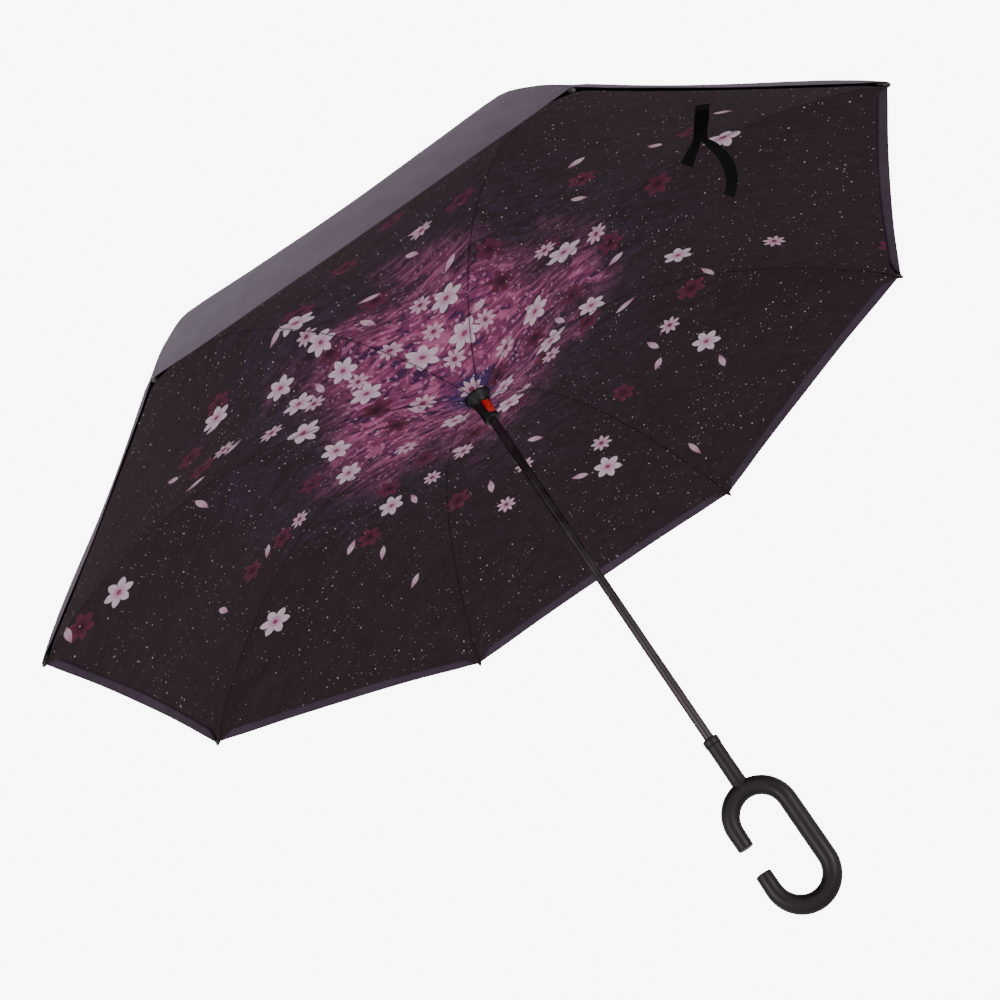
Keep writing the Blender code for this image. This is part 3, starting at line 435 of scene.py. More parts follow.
# %% Worn edges and stitches
WORN, given, made = new_group(
    "worn_edges",
    [("Place", "Vector", None), ("Amount", "Float", 0.5)],
    [("Mask", "Float")],
)
convex = add_node(WORN, "NewGeometry").outputs["Pointiness"]
broken = add_node(WORN, "TexNoise", {"Vector": given["Place"], "Scale": 240.0, "Detail": 5.0})
edge = times(WORN, ramp(WORN, convex, 0.52, 0.60), ramp(WORN, broken.outputs[0], 0.40, 0.62))
put_out(WORN, made, Mask=times(WORN, edge, given["Amount"]))

STITCH, given, made = new_group(
    "stitches",
    [("Across", "Float", 0.0), ("Along", "Float", 0.0), ("Pitch", "Float", 0.0028)],
    [("Mask", "Float")],
)
beat = calc(STITCH, "FRACT", calc(STITCH, "DIVIDE", given["Along"], given["Pitch"]))
beat = calc(STITCH, "ABSOLUTE", calc(STITCH, "SUBTRACT", beat, 0.5))
aside = calc(STITCH, "ABSOLUTE", given["Across"])
near = ramp(STITCH, aside, 0.00022, 0.00042, 1.0, 0.0)
dash = ramp(STITCH, beat, 0.34, 0.42, 1.0, 0.0)
put_out(STITCH, made, Mask=times(STITCH, near, dash))
print("groups:", WORN.name, STITCH.name)

# %% [markdown]
# ## The printed motifs
#
# The inner cloth is printed with flowers, leaves and specks that thin out toward the rim. A Voronoi
# texture scatters one cell per motif and gives each a random number. Inside a cell, folding the
# angle round the centre turns one lens shape into a ring of petals, and a single lens is a leaf.

# %% Scattered cells
SCATTER, given, made = new_group(
    "scattered_cells",
    [("Place", "Vector", None), ("Cells", "Float", 20.0), ("Spread", "Float", 0.7)],
    [("Local", "Vector"), ("Middle", "Vector"), ("Chance", "Float"), ("Turn", "Float"),
     ("Tint", "Float")],
)
cells = add_node(
    SCATTER, "TexVoronoi",
    {"Vector": given["Place"], "Scale": given["Cells"], "Randomness": given["Spread"]},
    voronoi_dimensions="2D",
).outputs
offset = add_node(
    SCATTER, "VectorMath", {0: given["Place"], 1: cells["Position"]}, operation="SUBTRACT"
).outputs[0]
local = add_node(
    SCATTER, "VectorMath", {0: offset, "Scale": given["Cells"]}, operation="SCALE"
).outputs[0]
draws = add_node(SCATTER, "SeparateColor", {0: cells["Color"]}).outputs
put_out(
    SCATTER, made, Local=local, Middle=cells["Position"], Chance=draws[0],
    Turn=times(SCATTER, draws[1], 2 * math.pi), Tint=draws[2],
)
print("nodes in the scatter:", len(SCATTER.nodes))

# %% Lens petals
PETALS, given, made = new_group(
    "lens_petals",
    [("Local", "Vector", None), ("Turn", "Float", 0.0), ("Count", "Float", 6.0),
     ("Length", "Float", 0.4), ("Width", "Float", 0.1), ("Blunt", "Float", 1.0)],
    [("Mask", "Float"), ("Outward", "Float"), ("Vein", "Float")],
)
petal = partial(calc, PETALS)
axes = add_node(PETALS, "SeparateXYZ", {0: given["Local"]}).outputs
radius = length_of(PETALS, given["Local"])
angle = petal("ADD", petal("ARCTAN2", axes[1], axes[0]), given["Turn"])
sector = petal("DIVIDE", 2 * math.pi, given["Count"])
turns = petal("ROUND", petal("DIVIDE", angle, sector))
folded = petal("SUBTRACT", angle, petal("MULTIPLY", turns, sector))
along = petal("MULTIPLY", radius, petal("COSINE", folded))
across = petal("ABSOLUTE", petal("MULTIPLY", radius, petal("SINE", folded)))
outward = petal("DIVIDE", along, given["Length"])
belly = petal("POWER", petal("MAXIMUM", outward, 0.0), 1.2, clamp=True)
belly = petal("SINE", petal("MULTIPLY", belly, math.pi))
belly = petal("POWER", belly, given["Blunt"])
edge_here = petal("MULTIPLY", belly, given["Width"])
inside = ramp(PETALS, petal("SUBTRACT", edge_here, across), 0.0, 0.02)
inside = petal("MULTIPLY", inside, petal("LESS_THAN", outward, 1.0))
inside = petal("MULTIPLY", inside, petal("GREATER_THAN", outward, 0.0))
vein = ramp(PETALS, across, 0.0, 0.02, 1.0, 0.0)
put_out(PETALS, made, Mask=inside, Outward=outward, Vein=vein)
print("nodes in the petals:", len(PETALS.nodes))


# %% Start of a finish
def new_finish(name, roughness, **sockets):
    """A material with its Principled shader; plain numbers go straight on the shader."""
    made = bpy.data.materials.new(name)
    made.use_nodes = True
    tree = made.node_tree
    shader = tree.nodes["Principled BSDF"]
    shader.inputs["Roughness"].default_value = roughness
    for key, value in sockets.items():
        shader.inputs[key.replace("_", " ")].default_value = value
    return made, tree, shader


def raise_surface(tree, shader, height, distance, strength):
    """Bumps the surface by a height."""
    bump = add_node(tree, "Bump", {"Height": height, "Distance": distance, "Strength": strength})
    tree.links.new(bump.outputs[0], shader.inputs["Normal"])


# %% [markdown]
# ## Cloth finishes
#
# Umbrella cloth is a tight polyester weave with a soft sheen. The outer layer is plain. The inner
# layer is nearly black, with a pink and plum bloom round the hub that thins out into flowers,
# leaves and specks. Its colour follows the cloth's own flat map, so it stays put when it folds.


# %% Sewn cloth group
SEAM_STITCHES = 0.0019
HEM_STITCHES = 0.0068
SEWN, given, made = new_group(
    "sewn_cloth",
    [("Seam", "Vector", None), ("Hem", "Float", 1.0), ("Threads", "Float", 9000.0)],
    [("Stitches", "Float"), ("Groove", "Float"), ("Height", "Float")],
)
sewing = partial(calc, SEWN)
sides = add_node(SEWN, "SeparateXYZ", {0: given["Seam"]}).outputs
side = sewing("ABSOLUTE", sides[0])
off_seam = sewing("SUBTRACT", side, SEAM_STITCHES)
off_hem = sewing("SUBTRACT", given["Hem"], HEM_STITCHES)
seam_row = use_group(SEWN, STITCH, Across=off_seam, Along=sides[1])["Mask"]
hem_row = use_group(SEWN, STITCH, Across=off_hem, Along=sides[0])["Mask"]
stitches = sewing("MAXIMUM", seam_row, hem_row)
# groove: the band along a seam, sunk in the bump; its mask also darkens the cloth colours there as
# painted shade
groove = ramp(SEWN, side, 0.0003, 0.0011, 1.0, 0.0)
folded_edge = ramp(SEWN, given["Hem"], 0.0078, 0.0084, 1.0, 0.0)
threads = use_group(SEWN, WEAVE, Place=given["Seam"], Threads=given["Threads"])["Height"]
height = sewing("MULTIPLY_ADD", threads, 0.12, sewing("MULTIPLY", stitches, 0.8))
height = sewing("ADD", sewing("SUBTRACT", height, groove), folded_edge)
put_out(SEWN, made, Stitches=stitches, Groove=groove, Height=height)


def sewn_cloth(tree):
    """Places the sewn group with the cloth's own seam map and its distance from the hem."""
    seam = add_node(tree, "UVMap", uv_map="seam").outputs[0]
    hem = add_node(tree, "Attribute", attribute_name="hem").outputs["Fac"]
    return use_group(tree, SEWN, Seam=seam, Hem=hem), seam


# %% Outer cloth
CLOTH_BUMP = (0.0003, 0.7)
OUTER, tree, shader = new_finish(
    "outer_cloth", 0.60, Sheen_Weight=0.04, Sheen_Roughness=0.45, Specular_IOR_Level=0.22,
    Sheen_Tint=(0.92, 0.80, 1.0, 1.0),
)
sewn, seam = sewn_cloth(tree)
cloud = use_group(tree, GRAIN, Place=seam, Scale=60.0)["Cloud"]
colour = mix(tree, ramp(tree, cloud, 0.35, 0.65), rgb(76, 60, 77), rgb(83, 67, 84))
# painted shade: the outer cloth colour is darkened along the seam groove, where shade falls
colour = mix(tree, sewn["Groove"], colour, rgb(50, 40, 51))
colour = mix(tree, times(tree, sewn["Stitches"], 0.5), colour, rgb(66, 57, 70))
feed(tree, shader.inputs["Base Color"], colour)
raise_surface(tree, shader, sewn["Height"], *CLOTH_BUMP)
print("finish:", OUTER.name)

# %% Inner cloth, its maps
INNER, tree, shader = new_finish(
    "inner_cloth", 0.74, Sheen_Weight=0.03, Sheen_Roughness=0.5, Specular_IOR_Level=0.10,
    Sheen_Tint=(1.0, 0.72, 0.84, 1.0), Specular_Tint=(1.0, 0.82, 0.90, 1.0),
)
sewn, seam = sewn_cloth(tree)
flat = add_node(tree, "UVMap", uv_map="print").outputs[0]
BLOOM_SHIFT = (0.01, 0.045)
BLOOM_STRETCH = (4.3, 3.7)


def stretched(tree, place, x, y, turn=0.0):
    """The flat map scaled unevenly, for strokes that run one way."""
    node = add_node(tree, "Mapping", {"Vector": place})
    node.inputs["Scale"].default_value = (x, y, 1.0)
    node.inputs["Rotation"].default_value = (0.0, 0.0, turn)
    return node.outputs[0]


def shifted(tree, place, x, y):
    """The same flat map moved, so that two scatters don't line up."""
    return add_node(tree, "VectorMath", {0: place, 1: (x, y, 0.0)}, operation="ADD").outputs[0]


def oval_reach(tree, place):
    """How far out a place lies in the stretched oval of the bloom."""
    return length_of(tree, stretched(tree, shifted(tree, place, *BLOOM_SHIFT), *BLOOM_STRETCH))


# %% Inner cloth, night and bloom
sweep = add_node(tree, "TexNoise", {"Vector": flat, "Scale": 7.5, "Detail": 4.0, "Distortion": 0.8})
ragged = calc(tree, "ADD", oval_reach(tree, flat), 0.65)
ragged = calc(tree, "MULTIPLY_ADD", sweep.outputs[0], -1.3, ragged)
bloom = ramp(tree, ragged, 0.45, 1.05, 1.0, 0.0)
smoke = ramp(tree, ragged, 0.75, 1.75, 0.75, 0.0)
brushed = stretched(tree, flat, 26.0, 70.0, 0.5)
strokes = add_node(
    tree, "TexNoise", {"Vector": brushed, "Scale": 1.0, "Detail": 5.0, "Distortion": 1.4}
).outputs[0]
dabs = use_group(tree, SCATTER, Place=flat, Cells=88.0, Spread=1.0)
dab = use_group(
    tree, PETALS, Local=dabs["Local"], Turn=dabs["Turn"], Count=1.0, Length=0.75, Width=0.20,
    Blunt=0.8,
)
night = mix(tree, ramp(tree, strokes, 0.35, 0.7), rgb(56, 43, 48), rgb(62, 49, 55))
night = mix(tree, times(tree, smoke, ramp(tree, strokes, 0.4, 0.6)), night, rgb(68, 54, 78))
plum = mix(tree, ramp(tree, strokes, 0.38, 0.50), rgb(74, 46, 88), rgb(146, 68, 112))
plum = mix(tree, ramp(tree, strokes, 0.52, 0.64), plum, rgb(202, 112, 158))
pinks = mix(tree, dabs["Tint"], rgb(186, 88, 132), rgb(230, 168, 200))
plum = mix(tree, times(tree, dab["Mask"], 0.8), plum, pinks)
hub_blue = ramp(tree, length_of(tree, flat), 0.016, 0.050, 0.8, 0.0)
plum = mix(tree, hub_blue, plum, rgb(58, 54, 112))
colour = mix(tree, bloom, night, plum)
print("nodes up to the bloom:", len(tree.nodes))

# %% Inner cloth, one scatter of motifs
RIM_CLEAR = 0.30
RIM_FADE = 0.27


def motif(tree, under, shift, cells, spread, count, length, width, blunt, odds, tints, eye):
    """Lays one scatter of motifs over a colour, with odds by the place of each one's middle."""
    cell = use_group(tree, SCATTER, Place=shifted(tree, flat, *shift), Cells=cells, Spread=spread)
    middle = shifted(tree, cell["Middle"], -shift[0], -shift[1])
    near_hub = ramp(tree, oval_reach(tree, middle), 0.35, 1.05, 1.0, 0.0)
    to_rim = ramp(tree, length_of(tree, middle), RIM_CLEAR, RIM_CLEAR + RIM_FADE, 1.0, 0.0)
    chance = calc(tree, "MULTIPLY_ADD", near_hub, odds[0], odds[2])
    chance = calc(tree, "MULTIPLY_ADD", to_rim, odds[1], chance)
    shown = calc(tree, "LESS_THAN", cell["Chance"], chance)
    shape = use_group(
        tree, PETALS, Local=cell["Local"], Turn=cell["Turn"], Count=count, Length=length,
        Width=width, Blunt=blunt,
    )
    body = mix(tree, ramp(tree, shape["Outward"], 0.05, 0.65), tints[0], tints[1])
    body = mix(tree, times(tree, shape["Vein"], 0.4), body, tints[0])
    under = mix(tree, times(tree, shape["Mask"], shown), under, body)
    if eye:
        round_eye = ramp(tree, length_of(tree, cell["Local"]), eye, eye + 0.02, 1.0, 0.0)
        under = mix(tree, times(tree, round_eye, shown), under, tints[2])
    return under


# %% Inner cloth, flowers and petals
ROSE = (rgb(72, 36, 52), rgb(112, 50, 76), rgb(62, 32, 46))
PALE = (rgb(214, 150, 188), rgb(240, 218, 232), rgb(168, 78, 124))
BLUSH = (rgb(198, 132, 168), rgb(232, 196, 216), rgb(140, 62, 100))
# shift, cells, spread, petals, length, width, blunt, odds (hub, rim, everywhere), tints, eye
MOTIFS = [
    ((3.1, 1.7), 14.7, 0.4, 6.0, 0.294, 0.088, 0.6, (0.0, 0.26, 0.02), ROSE, 0.035),
    ((5.3, 8.2), 10.5, 0.35, 1.0, 0.322, 0.060, 0.85, (0.0, 0.38, 0.10), BLUSH, 0.0),
    ((2.2, 6.9), 18.2, 0.4, 8.0, 0.287, 0.062, 0.6, (0.40, 0.06, 0.0), BLUSH, 0.049),
    ((9.4, 4.6), 14.0, 0.4, 6.0, 0.301, 0.091, 0.6, (0.48, 0.20, 0.0), PALE, 0.038),
]
for row in MOTIFS:
    colour = motif(tree, colour, *row)
print("scatters of motifs:", len(MOTIFS))

# %% Inner cloth, specks and seams
drift = add_node(tree, "TexNoise", {"Vector": flat, "Scale": 11.0, "Detail": 2.0}).outputs[0]
drift = ramp(tree, drift, 0.38, 0.66, 0.25, 1.0)
for cells, most, small, spread in ((105.0, 0.20, 0.04, 0.10), (210.0, 0.15, 0.06, 0.10)):
    dots = use_group(tree, SCATTER, Place=shifted(tree, flat, cells, 0.0), Cells=cells, Spread=1.0)
    size = calc(tree, "MULTIPLY_ADD", dots["Tint"], spread, small)
    dot = calc(tree, "LESS_THAN", length_of(tree, dots["Local"]), size)
    dot = times(tree, dot, calc(tree, "LESS_THAN", dots["Chance"], times(tree, drift, most)))
    dot = times(tree, dot, ramp(tree, dots["Tint"], 0.0, 1.0, 0.35, 0.95))
    colour = mix(tree, dot, colour, rgb(206, 184, 194))
# painted shade: the inner cloth colour is darkened along the seam groove, where shade falls
colour = mix(tree, times(tree, sewn["Groove"], 0.75), colour, rgb(24, 17, 21))
colour = mix(tree, times(tree, sewn["Stitches"], 0.3), colour, rgb(62, 52, 58))
feed(tree, shader.inputs["Base Color"], colour)
raise_surface(tree, shader, sewn["Height"], *CLOTH_BUMP)
print("finish:", INNER.name)

# %% [markdown]
# ## Hard finishes
#
# The frame is black-painted steel, the fittings are moulded plastic with a satin face, the grip has
# a soft-touch skin, the push button is a clear red, and the rib tips are dark. One function makes
# them all, with grain and with lighter worn edges where hands and ribs rub.

# %% Hard finishes
GRAIN_SCALE = 1400.0
GRAIN_STRENGTH = 0.5
SMOOTHER, ROUGHER = 0.05, 0.06


def moulded(name, low, high, worn, roughness, grain_depth, wear_amount, **sockets):
    """A moulded or painted finish: faintly cloudy colour, fine grain and worn edges."""
    made, tree, shader = new_finish(name, roughness, **sockets)
    place = add_node(tree, "TexCoord").outputs["Object"]
    grain = use_group(tree, GRAIN, Place=place, Scale=GRAIN_SCALE)
    edges = use_group(tree, WORN, Place=place, Amount=wear_amount)["Mask"]
    colour = mix(tree, ramp(tree, grain["Cloud"], 0.35, 0.65), low, high)
    feed(tree, shader.inputs["Base Color"], mix(tree, edges, colour, worn))
    rough = ramp(tree, grain["Cloud"], 0.3, 0.7, roughness - SMOOTHER, roughness + ROUGHER)
    feed(tree, shader.inputs["Roughness"], rough)
    raise_surface(tree, shader, grain["Height"], grain_depth, GRAIN_STRENGTH)
    return made


BLACK_STEEL = moulded(
    "black_steel", rgb(30, 28, 30), rgb(40, 37, 40), rgb(96, 92, 94), 0.38, 0.00002, 0.5,
    Metallic=0.55,
)
ZINC = moulded("zinc_wire", rgb(160, 160, 164), rgb(186, 186, 190), rgb(210, 210, 212), 0.32,
               0.00001, 0.3, Metallic=1.0)
FIBRE = moulded("fibreglass_rod", rgb(26, 25, 26), rgb(36, 34, 36), rgb(70, 66, 66), 0.36,
                0.00002, 0.3, Coat_Weight=0.3)
PLASTIC = moulded("black_plastic", rgb(14, 12, 13), rgb(20, 17, 19), rgb(48, 44, 46), 0.40,
                  0.00002, 0.15)
GRIP = moulded("soft_touch_grip", rgb(27, 20, 23), rgb(32, 25, 28), rgb(58, 50, 54), 0.40,
               0.00001, 0.15, Specular_Tint=(1.0, 0.88, 0.94, 1.0))
SHAFT = moulded("lacquered_shaft", rgb(84, 76, 80), rgb(91, 83, 87), rgb(118, 110, 114), 0.36,
                0.000001, 0.0, Metallic=1.0)
RED = moulded("button_red", rgb(208, 14, 14), rgb(220, 24, 20), rgb(240, 96, 78), 0.36,
              0.00001, 0.3)
TIP = moulded("rib_tip_plastic", rgb(30, 25, 28), rgb(38, 32, 35), rgb(120, 114, 116), 0.36,
              0.00002, 0.4)
print("hard finishes end with", TIP.name)

# %% Ribbon of the strap
RIBBON_THREADS = 5200.0
RIBBON_BUMP = (0.00012, 0.8)
RIBBON, tree, shader = new_finish(
    "strap_ribbon", 0.80, Sheen_Weight=0.03, Sheen_Roughness=0.5, Specular_IOR_Level=0.15
)
ribbon_map = add_node(tree, "UVMap", uv_map="seam").outputs[0]
cords = use_group(tree, WEAVE, Place=ribbon_map, Threads=RIBBON_THREADS)["Height"]
feed(tree, shader.inputs["Base Color"], mix(tree, cords, rgb(5, 4, 5), rgb(13, 11, 12)))
raise_surface(tree, shader, cords, *RIBBON_BUMP)
print("materials:", len(bpy.data.materials))

# %% [markdown]
# ## The two layers of cloth
#
# Each layer is one curved sheet over eight ribs. Only the ribs move it, so it is made in strips,
# one to a rib, that meet in the middle of the gores with the same points and look like one sheet.
# Along a rib a strip is cut again where the rod bends, so that the folded umbrella closes round its
# shaft. The inner strip before the bend has a short tongue that lies above the next one there.

# %% Strip columns and rows
FREE_COLUMNS = 13
SEAM_SIDES = (0.0, 0.0009, 0.0014, 0.0024)
ROW_STEP = 0.0065
FIRST_STEP = 0.0022
STEP_GROWTH = 0.11
BORDER_SWING = 0.022
BORDER_END = 0.455


def column_shares(half_width):
    """Shares of the half gore, dense by the seam and even from there to the middle."""
    shrink = min(1.0, half_width / 0.02)
    sides = [side * shrink / half_width for side in SEAM_SIDES]
    last = sides[-1]
    return sides + [last + (1 - last) * i / FREE_COLUMNS for i in range(1, FREE_COLUMNS + 1)]


def row_radii(first, last):
    """Radii of the rows, closer together near the hub."""
    rows = [first]
    while rows[-1] < last:
        rows.append(rows[-1] + min(ROW_STEP, FIRST_STEP + rows[-1] * STEP_GROWTH))
    rows[-1] = last
    return rows


def border(radius, share):
    """A row's line, which swings toward the hem between the ribs, where folded cloth is longest."""
    swing = BORDER_SWING * smooth_step(radius, STRETCHER_END, FLEX_RADIUS)
    return radius + swing * (1 - smooth_step(radius, FLEX_RADIUS, BORDER_END)) * share**2


# %% One sheet of cloth
SLOPE_LENGTH = 0.12
CLOTH_SMOOTH = 50.0


def flat_place(place, reach):
    """Where a point lies on the flat map: out along its own direction by its length of cloth."""
    out = Vector((place.x, place.y, 0.0))
    length = reach * (1.0 + SLOPE_LENGTH * reach / HEM_RADIUS)
    return out.normalized() * length if out.length > 0 else out


def sewn_sheet(name, rows, finish):
    """A sheet from rows of (place, side, reach, distance from the hem), and its flat area."""
    mesh = bpy.data.meshes.new(name)
    work = bmesh.new()
    print_map = work.loops.layers.uv.new("print")
    seam_map = work.loops.layers.uv.new("seam")
    hem_map = work.verts.layers.float.new("hem")
    grid = []
    flats = {}
    for row in rows:
        grid.append([])
        for place, side, reach, hem_gap in row:
            vertex = work.verts.new(place)
            vertex[hem_map] = hem_gap
            flats[vertex] = (flat_place(place, reach).xy, (side, reach))
            grid[-1].append(vertex)
    for low, high in zip(grid, grid[1:]):
        for i in range(len(low) - 1):
            face = work.faces.new((low[i], low[i + 1], high[i + 1], high[i]))
            for loop in face.loops:
                loop[print_map].uv, loop[seam_map].uv = flats[loop.vert]
    area = sum(face.calc_area() for face in work.faces)
    bmesh.ops.recalc_face_normals(work, faces=work.faces)
    work.to_mesh(mesh)
    work.free()
    piece = add_object(name, mesh)
    apply_modifier(piece, "SOLIDIFY", thickness=CLOTH, offset=0.0)
    settle(piece, CLOTH_SMOOTH)
    wear(piece, finish)
    return piece, area


# %% One strip
# half the width of a gore for each metre along its rib, as its maps and columns take it
GORE_SIDE = 0.3536
SAMPLE_REACH = 0.1
LEAST_HALF_WIDTH = 0.002
HEM_ROWS = 0.08
TONGUE = 0.008
TONGUE_ROWS = 6
LAP_LIFT = 0.0013
LAP_RAMP = 0.003
RIDGE_SIDES = (0.0010, 0.0016)
RIDGE_STARTS = (0.02, 0.05)


def strip(name, layer_name, number, first, last, tongue):
    """One strip of a layer from radius first to last, or to its hem, and its area and length."""
    layer = LAYERS[layer_name]
    radii = row_radii(first, last)
    bare_rows = len(radii)
    if tongue:
        radii += [last + tongue * i / TONGUE_ROWS for i in range(1, TONGUE_ROWS + 1)]
    to_hem = last >= layer["corner"]
    columns = column_shares(GORE_SIDE * SAMPLE_REACH)
    rows = []
    for row, rib_radius in enumerate(radii):
        rows.append([])
        for column in range(1 - len(columns), len(columns)):
            sign = -1 if column < 0 else 1
            share = columns[abs(column)]
            reach = border(min(rib_radius, last), share)
            if row >= bare_rows:
                reach += (rib_radius - last) * (0.5 + 0.5 * share**2)
            if to_hem and rib_radius > last - HEM_ROWS:
                part = (rib_radius - (last - HEM_ROWS)) / HEM_ROWS
                reach = last - HEM_ROWS + part * (hem_radius(layer, share) - last + HEM_ROWS)
            share = column_shares(max(GORE_SIDE * reach, LEAST_HALF_WIDTH))[abs(column)]
            place = cloth_point(layer, reach, share, sign, number)
            side = GORE_SIDE * reach * share
            ridge = layer["seam"] * (1 - smooth_step(side, *RIDGE_SIDES))
            place.z += ridge * smooth_step(reach, *RIDGE_STARTS)
            if row >= bare_rows:
                place.z += LAP_LIFT * smooth_step(reach - border(last, share), 0.0, LAP_RAMP)
            hem_gap = hem_radius(layer, share) - reach if to_hem else 1.0
            rows[-1].append((place, sign * side, reach, hem_gap))
    piece, area = sewn_sheet(name, rows, INNER if layer_name == "inner" else OUTER)
    return piece, area, radii[-1] - radii[0]


# %% Make and hang the strips
HEM_BAND = 0.420
WIDTH_SPARE = 1.05
INNER_START, INNER_END = LAYERS["inner"]["first"], LAYERS["inner"]["corner"]
OUTER_START, OUTER_END = LAYERS["outer"]["first"], LAYERS["outer"]["corner"]
# layer, part, body, first and last radius, tongue, share of its width that a fold keeps
BANDS = [
    ("inner", "hub", "rib", INNER_START, FLEX_RADIUS, TONGUE, 0.315),
    ("inner", "bend", "tip", FLEX_RADIUS, HEM_BAND, 0.0, 0.35),
    ("inner", "hem", "tip", HEM_BAND, INNER_END, 0.0, 0.255),
    ("outer", "crown", "stretcher", OUTER_START, STRETCHER_END, 0.0, 0.20),
    ("outer", "rib", "rib", STRETCHER_END, FLEX_RADIUS, 0.0, 0.13),
    ("outer", "hem", "tip", FLEX_RADIUS, OUTER_END, 0.0, 0.21),
]
total_area = {"inner": 0.0, "outer": 0.0}
for layer_name, part, body, first, last, tongue, keep in BANDS:
    for number in range(1, RIBS + 1):
        name = f"{layer_name}_cloth_{part}_{number}"
        piece, area, length = strip(name, layer_name, number, first, last, tongue)
        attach(piece, f"{body}_{number}")
        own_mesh(piece)
        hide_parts(f"{layer_name}_canopy_{number}")
        width = 2 * GORE_SIDE * last * WIDTH_SPARE
        total_area[layer_name] += area
print("cloth in square metres:", {key: round(value, 3) for key, value in total_area.items()})

# %% [markdown]
# ## A lining behind each bend
#
# When the umbrella folds, the rod's bend opens a gap between two strips. A narrow lining lies
# hidden above the inner layer there, from before the bend to after it, and fills the gap.

# %% Linings
LINING_FIRST = 0.280
LINING_LAST = 0.374
LINING_HALF = 0.045
LINING_LIFT = 0.0009
LINING_COLUMNS = 8


def lining(number):
    """A narrow sheet above the inner layer, from before the rod's bend to after it."""
    rows = []
    for reach in row_radii(LINING_FIRST, LINING_LAST):
        rows.append([])
        for column in range(-LINING_COLUMNS, LINING_COLUMNS + 1):
            side = LINING_HALF * column / LINING_COLUMNS
            share = abs(side) / (GORE_SIDE * reach)
            place = cloth_point(LAYERS["inner"], reach, share, 1 if side >= 0 else -1, number)
            place.z += LINING_LIFT
            rows[-1].append((place, side, reach, 1.0))
    return sewn_sheet(f"inner_cloth_lining_{number}", rows, INNER)


for number in range(1, RIBS + 1):
    piece, area = lining(number)
    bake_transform(piece)
    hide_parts(f"inner_canopy_{number}")
print("lining in square centimetres:", round(area * 1e4))

# %% [markdown]
# ## Flexible rods
#
# Each rib ends in a thin rod that runs in the dark between the two layers and holds both hems.
# A rod is a cord along a smooth line, thicker at its root. In the folded umbrella it bends
# between the rib and the tip.

# %% Line of the rods
ROD_LINE = [
    (0.2492, 0.6521), (0.2651, 0.6539), (0.2957, 0.6544), (0.3264, 0.6494), (0.3570, 0.6399),
    (0.3877, 0.6269), (0.4169, 0.6116), (0.4461, 0.5924), (0.4753, 0.5687), (0.5046, 0.5397),
    (0.5339, 0.5047),
]


def smooth_line(points, parts):
    """A smooth line through points, with equal parts between each two of them."""
    ends = [points[0]] + list(points) + [points[-1]]
    line = []
    for before, start, end, after in zip(ends, ends[1:], ends[2:], ends[3:]):
        for i in range(parts):
            t = i / parts
            line.append(tuple(
                b + 0.5 * t * (c - a + t * (2 * a - 5 * b + 4 * c - d + t * (3 * (b - c) + d - a)))
                for a, b, c, d in zip(before, start, end, after)
            ))
    return line + [tuple(points[-1])]


rod_places = [(x, 0.0, z) for x, z in smooth_line(ROD_LINE, 4)]
rod_length = sum(math.dist(a, b) for a, b in zip(rod_places, rod_places[1:]))
print("rod length along its line:", round(rod_length, 3))


# %% Rods
def copy_piece(piece, name, turn_by):
    """A copy with its own mesh, turned about the shaft's axis."""
    twin = piece.copy()
    twin.data = piece.data.copy()
    twin.name = name
    twin.data.name = name
    scene.collection.objects.link(twin)
    twin.data.transform(Matrix.Rotation(turn_by, 4, "Z"))
    return twin


ROD_ROOT_RADIUS = 0.0015
ROD_END_RADIUS = 0.0011
deselect_all()
bpy.ops.curve.primitive_bezier_curve_add(location=(0.0, 0.0, 0.0))
first_rod = name_active("rod")
line = first_rod.data
line.splines.clear()
spline = line.splines.new("POLY")
spline.points.add(len(rod_places) - 1)
for i, (point, place) in enumerate(zip(spline.points, rod_places)):
    along = i / (len(rod_places) - 1)
    point.co = (*place, 1.0)
    point.radius = ROD_ROOT_RADIUS + (ROD_END_RADIUS - ROD_ROOT_RADIUS) * along
line.dimensions = "3D"
line.bevel_depth = 1.0  # each point's radius is its own in metres
line.bevel_resolution = 2
line.use_fill_caps = True
bpy.ops.object.convert(target="MESH")
clean_normals(first_rod)
settle(first_rod, 40.0)
wear(first_rod, FIBRE)
for number in range(1, RIBS + 1):
    rod = copy_piece(first_rod, f"flexible_rod_{number}", rib_turn(number))
    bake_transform(rod)
    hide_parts(f"rib_rod_{number}")
bpy.data.objects.remove(first_rod)
print("faces of one rod:", len(rod.data.polygons))

# %% [markdown]
# ## The C-shaped grip
#
# A round bar bent like this is easiest as one disc that travels: it is extruded up the first leg,
# spun over the top bend, extruded down the back, spun under the lower bend and extruded up to the
# second cut end. The cut ends get a small bevel, and the bar swells between them. The neck and its
# collar are outlines spun round the shaft, and the neck stands on the loop.

# %% Grip loop
LOOP_RADIUS = 0.030
LOOP_HALF = 0.032
LOOP_GAP = 0.028
GRIP_RADIUS = 0.0090
GRIP_SIDES = 40
BEND_STEPS = 28
LEG = LOOP_HALF - LOOP_GAP / 2

deselect_all()
bpy.ops.mesh.primitive_circle_add(
    vertices=GRIP_SIDES, radius=GRIP_RADIUS, fill_type="NGON",
    location=(-LOOP_RADIUS, 0.0, LOOP_GAP / 2),
)
grip = name_active("grip_loop")
bpy.ops.object.transform_apply(location=True, rotation=True, scale=True)


def extrude_up(distance, parts):
    """In edit mode, extrudes the selected face along Z in equal parts."""
    for _ in range(parts):
        step = (0.0, 0.0, distance / parts)
        bpy.ops.mesh.extrude_region_move(TRANSFORM_OT_translate={"value": step})


def bend(height):
    """In edit mode, spins the selected face half a turn about a level axis at a height."""
    bpy.ops.mesh.spin(
        steps=BEND_STEPS, angle=-math.pi, center=(0.0, 0.0, height), axis=(0.0, 1.0, 0.0),
        dupli=False,
    )


